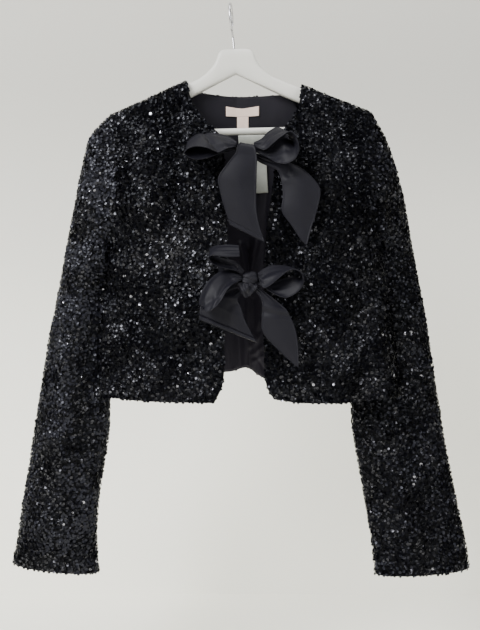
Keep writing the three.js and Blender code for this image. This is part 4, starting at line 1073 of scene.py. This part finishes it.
def satin(name, grid):
    """A thin wall of ribbon, half to each side of a grid."""
    normal = grid_normals(grid, False, FORWARD)
    outer = grid + normal * (RIBBON_WALL / 2)
    return wall(name, outer, -normal, RIBBON_WALL, RIBBON, RIBBON)


def ribbon(name):
    piece = satin(name + "_ribbon", ribbon_grid(name))
    join(piece, name)


WRAP_HALF_ROWS, WRAP_COLUMNS = 24, 96


def wrap(node, centre, half, flap=None):
    """The band round the middle of a bow, with slanting creases, and the tuck that hangs under it."""
    rings = []
    for k in range(2 * WRAP_HALF_ROWS + 1):
        h = -1 + k / WRAP_HALF_ROWS
        size = math.sqrt(max(0.06, 1 - abs(h) ** 3.4))
        ring = []
        for j in range(WRAP_COLUMNS):
            angle = j / WRAP_COLUMNS * 2 * math.pi
            pinch = 1 - 0.12 * math.cos(4 * angle)
            slant = h + 0.55 * math.cos(angle)
            crease = 1 + 0.07 * math.sin(5.5 * slant) + 0.035 * math.sin(14 * slant + 1.0)
            ring.append((
                centre[0] + half[0] * size * math.cos(angle) * pinch * min(crease, 1.04),
                centre[1] + half[1] * size * math.sin(angle) * crease,
                centre[2] + half[2] * (h + 0.10 * math.cos(angle)),
            ))
        rings.append(ring)
    join(loft(node + "_ribbon", rings, RIBBON), node)
    if flap:
        tuck(node + "_tuck", *flap)


def tuck(name, left, right, top, bottom, depth):
    """The crumpled turn of ribbon that shows under a knot."""
    rows, cols = 60, 60
    v, u = np.meshgrid(np.linspace(0, 1, rows), np.linspace(0, 1, cols), indexing="ij")
    round_foot = np.sqrt(np.clip(1 - ((2 * u - 1.05) / 1.05) ** 2, 0.03, 1))
    x = lerp(left, right, 0.5 + (u - 0.5) * (0.82 + 0.18 * np.sin(math.pi * v)))
    z = lerp(top, lerp(top, bottom, round_foot), v) + 1.2 * np.sin(u * 9 + 1) * v
    out = 3.2 * np.sin(math.pi * np.clip(v * 0.9 + 0.1, 0, 1)) * np.sin(math.pi * u) ** 0.7
    large = 1.3 * np.sin(11 * u + 5 * v + 0.6) * np.exp(-((v - 0.35) / 0.5) ** 2)
    small = 0.8 * np.sin(19 * u - 7 * v)
    piece = satin(name, np.stack([x, depth - out - (large + small), z], axis=-1))
    join(piece)


# ---------------------------------------------------------------- labels and hanger

LABEL_WALL = 0.5


def label(node, left, right, top, bottom, material, lean=0.0, lift=0.8, curl=0.0, notch=0.0):
    rows, cols = 40, 30
    v, u = np.meshgrid(np.linspace(0, 1, rows), np.linspace(0, 1, cols), indexing="ij")
    z = lerp(top, bottom, v) - notch * (1 - v) * (1 - np.abs(2 * u - 1))
    x = lerp(left, right, u) + lean * v
    y = lining_y(x, z) - 1.0 - lift - curl * np.sin(v * math.pi) - 0.5 * np.sin(u * math.pi * 2 + 1) * v
    grid = np.stack([x, y, z], axis=-1)
    inward = grid_normals(grid, False, BACKWARD)
    piece = wall(node + "_cloth", grid - inward * LABEL_WALL, inward, LABEL_WALL, material, material)
    join(piece, node)


ARM_SECTIONS = named("out top under", [
    (0, -58, -92.2),
    (12, -58, -98.1),
    (19, -59, -101.5),
    (23, -62, -103.4),
    (25.5, -69, -104.7),
    (28, -75.5, -105.9),
    (33, -82.7, -108.3),
    (40, -90, -111.8),
    (49, -96.7, -116.2),
    (64, -103.8, -123.5),
    (100, -118.3, -139.5),
    (140, -135.1, -153),
    (160.5, -143.4, -161),
    (161, -143.9, -177),
    (168, -150, -178),
    (173, -157, -177),
    (175.5, -163, -174),
])
ARM_HALF_DEPTH = 5.5
BAR_HEIGHT = -169.5
BAR_RINGS = [(-160, 4.1), (-159.6, 4.5), (159.6, 4.5), (160, 4.1)]


def rounded(value):
    """Turns a circle's sine or cosine into that of a square with round corners."""
    return np.sign(value) * np.abs(value) ** 0.7


def hanger_arms():
    outs = [s["out"] for s in ARM_SECTIONS]
    fine = [-o for o in outs[::-1]] + outs[1:]
    places = sorted(set(fine) | set(np.linspace(-160, 160, 81).tolist()))
    rings = []
    for out in places:
        top = np.interp(abs(out), outs, [s["top"] for s in ARM_SECTIONS])
        under = np.interp(abs(out), outs, [s["under"] for s in ARM_SECTIONS])
        middle, half = (top + under) / 2 + HANGER_LEAN * out, (top - under) / 2
        angle = (np.arange(40) + 0.5) / 40 * 2 * math.pi
        rings.append(np.stack([
            np.full(40, float(out)),
            ARM_HALF_DEPTH * rounded(np.cos(angle)),
            middle + half * rounded(np.sin(angle)),
        ], 1))
    join(loft("hanger_arms_wood", rings, PAINT), "hanger_arms")


def trouser_bar():
    tilt = math.atan(HANGER_LEAN)
    angle = np.arange(36) / 36 * 2 * math.pi
    rings = []
    for end, radius in BAR_RINGS:
        rings.append(np.stack([
            end * math.cos(tilt) - radius * np.sin(angle) * math.sin(tilt),
            radius * np.cos(angle),
            BAR_HEIGHT + end * math.sin(tilt) + radius * np.sin(angle) * math.cos(tilt),
        ], 1))
    join(loft("hanger_bar_wood", rings, PAINT), "hanger_bar")


HOOK_RADIUS, HOOK_HEIGHT, HOOK_TURN, HOOK_ASKEW = 21.5, -20.0, 1.46 * math.pi, 1.8
SHANK_FOOT, SHANK_TOP = (4.2, -57.5), (2.6, -41.5)
SHANK_SHARE = 0.14
WIRE_RADIUS, WIRE_POINTS = 1.5, 90


def hook_point(t):
    """A point of the hook's wire: up the shank, then round the hook, which stands front to back."""
    if t < SHANK_SHARE:
        s = t / SHANK_SHARE
        return lerp(SHANK_FOOT[0], SHANK_TOP[0], s), 0.0, lerp(SHANK_FOOT[1], SHANK_TOP[1], s)
    s = (t - SHANK_SHARE) / (1 - SHANK_SHARE)
    angle = -math.pi / 2 - s * HOOK_TURN
    x = lerp(SHANK_TOP[0], 0.0, float(smooth(s * 2))) + HOOK_ASKEW * math.cos(angle)
    return x, HOOK_RADIUS * math.cos(angle), HOOK_HEIGHT + HOOK_RADIUS * math.sin(angle)


def hook():
    path = bpy.data.curves.new("hanger_hook_wire", "CURVE")
    path.dimensions = "3D"
    spline = path.splines.new("POLY")
    spline.points.add(WIRE_POINTS - 1)
    for k in range(WIRE_POINTS):
        x, y, z = hook_point(k / (WIRE_POINTS - 1))
        spline.points[k].co = (x * METRE, y * METRE, z * METRE, 1)
    path.bevel_depth = WIRE_RADIUS * METRE
    path.bevel_resolution = 6
    path.use_fill_caps = True
    path.materials.append(STEEL)
    wire = bpy.data.objects.new("hanger_hook_wire", path)
    bpy.context.scene.collection.objects.link(wire)
    join(wire, "hanger_hook")


# ---------------------------------------------------------------- building

hanger_arms()
trouser_bar()
hook()
INTO_FRONT, INTO_BACK = np.array([0.0, 1.0, -0.2]), np.array([0.0, -1.0, -0.2])
# Width and length of each sewn piece's cut, and its area (m)
FRONT_CUT, BACK_CUT = ((0.195, 0.455), 0.065), ((0.434, 0.416), 0.147)
SLEEVE_CUTS = {"right": ((0.388, 0.643), 0.129), "left": ((0.398, 0.652), 0.134)}
for side in ("right", "left"):
    dress("front_" + side, front_grid(side), INTO_FRONT, "sequinned_cloth", *FRONT_CUT)
dress("back", back_grid(), INTO_BACK, "sequinned_cloth", *BACK_CUT)
for side, cut in SLEEVE_CUTS.items():
    grid = sleeve_grid(side)
    toward = grid.mean(axis=1, keepdims=True) - grid
    dress("sleeve_" + side, grid, toward, "sequinned_cloth", *cut, closed=True)

lining_form = lining_grid()
forward = grid_normals(lining_form, False, FORWARD)
lining = wall("lining_back_cloth", lining_form, forward, LINING_WALL, LINING, LINING)
join(lining, "lining_back")

label("neck_label", -13.8, 31.4, -131, -143.5, NECK_LABEL, notch=2.6)
label("size_tab", 1.5, 17, -143.9, -163, NECK_LABEL)
label("care_label", 3, 40, -168, -246, CARE_LABEL, lean=5, lift=1.3, curl=1.5)

wrap("upper_wrap", (12, -54, -207.2), (11, 7, 4.8))
wrap("lower_wrap", (18, -55, -371), (10.5, 7.5, 8.5), (0.5, 27.5, -377, -394, -59))
# Width and length of each ribbon's cut, and its area where its ends are slanted or gathered (mm)
RIBBON_CUTS = {
    "upper_loop_right": (44, 155, 4050),
    "upper_loop_left": (39, 160, 3710),
    "upper_tail_right": (51, 129, 4530),
    "upper_tail_left": (49, 174, 4090),
    "lower_roll": (30, 97, 2220),
    "lower_loop_right": (39, 144, 2580),
    "lower_tail_right": (60, 87, 3070),
    "lower_loop_left": (35, 161, 3390),
    "lower_tail_left": (42, 123, 2790),
    "upper_end_right": (25, 38, 515),
    "upper_end_left": (27, 57, 775),
    "lower_end_right": (27, 38, 620),
    "lower_end_left": (27, 30, 510),
}
for name, (wide, long, area) in RIBBON_CUTS.items():
    ribbon(name)


# ---------------------------------------------------------------- light, floor and camera

def area_light(name, place, target, size, power):
    lamp = bpy.data.lights.new(name, "AREA")
    lamp.shape, lamp.size, lamp.energy = "DISK", size, power
    obj = bpy.data.objects.new(name, lamp)
    obj.location = place
    obj.rotation_euler = (Vector(target) - Vector(place)).to_track_quat("-Z", "Y").to_euler()
    bpy.context.scene.collection.objects.link(obj)


def studio_paint():
    """A pale matt paint that shows from its front only, so that the jacket can be seen from behind; it
    glows faintly and is painted lighter towards the bottom, painted light that lifts the jacket's
    shadow, and darker towards the top.
    """
    # Painted light: the paint glows faintly, though it is no lamp
    f = Finish("studio_paint", Roughness=0.9, Specular_IOR_Level=0.2, Emission_Strength=0.07)
    f.shader.inputs["Emission Color"].default_value = (1.0, 0.98, 0.90, 1)
    # Painted light: lighter towards the bottom, where the jacket's shadow falls, and darker towards the
    # top
    high = f.between(f.height(), -0.75, 0.12, interpolation_type="SMOOTHSTEP")
    f.tint(high, (0.995, 0.985, 0.90), (0.47, 0.463, 0.425))
    f.feed("Alpha", 1.0 - f.node("ShaderNodeNewGeometry", out=6))
    return f.material


def studio():
    pale = studio_paint()
    wide, behind, under, over = 6000, 480, -1000, 5000
    foot = [(-wide, behind, under), (wide, behind, under)]
    planes = {
        "floor": [(-wide, -wide, under), (wide, -wide, under), *foot[::-1]],
        "backdrop": [*foot, (wide, behind, over), (-wide, behind, over)],
    }
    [mesh_object(name, corners, [(0, 1, 2, 3)], [pale]) for name, corners in planes.items()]
    world = bpy.data.worlds.new("studio")
    bpy.context.scene.world = world
    world.use_nodes = True
    sky = world.node_tree.nodes["Background"]
    sky.inputs[0].default_value = (0.9, 0.9, 0.92, 1)
    sky.inputs[1].default_value = 0.32
    target = (0.02, 0, -0.4)
    area_light("window", (-1.5, -1.6, 0.9), target, 1.5, 120)
    area_light("fill", (1.7, -1.7, 0.2), target, 0.9, 22)
    area_light("top", (0.3, -0.5, 1.5), target, 0.9, 22)


studio()

FOCAL_LENGTH_PX, IMAGE_HEIGHT_PX = 650, 630
camera_data = bpy.data.cameras.new("camera")
camera_data.sensor_width = 36
camera_data.lens = camera_data.sensor_width * FOCAL_LENGTH_PX / IMAGE_HEIGHT_PX
camera = bpy.data.objects.new("camera", camera_data)
camera.location = (0.0122, -0.878, -0.417)
camera.rotation_euler = (math.pi / 2, 0, 0)
bpy.context.scene.collection.objects.link(camera)
bpy.context.scene.camera = camera

bpy.context.view_layer.update()
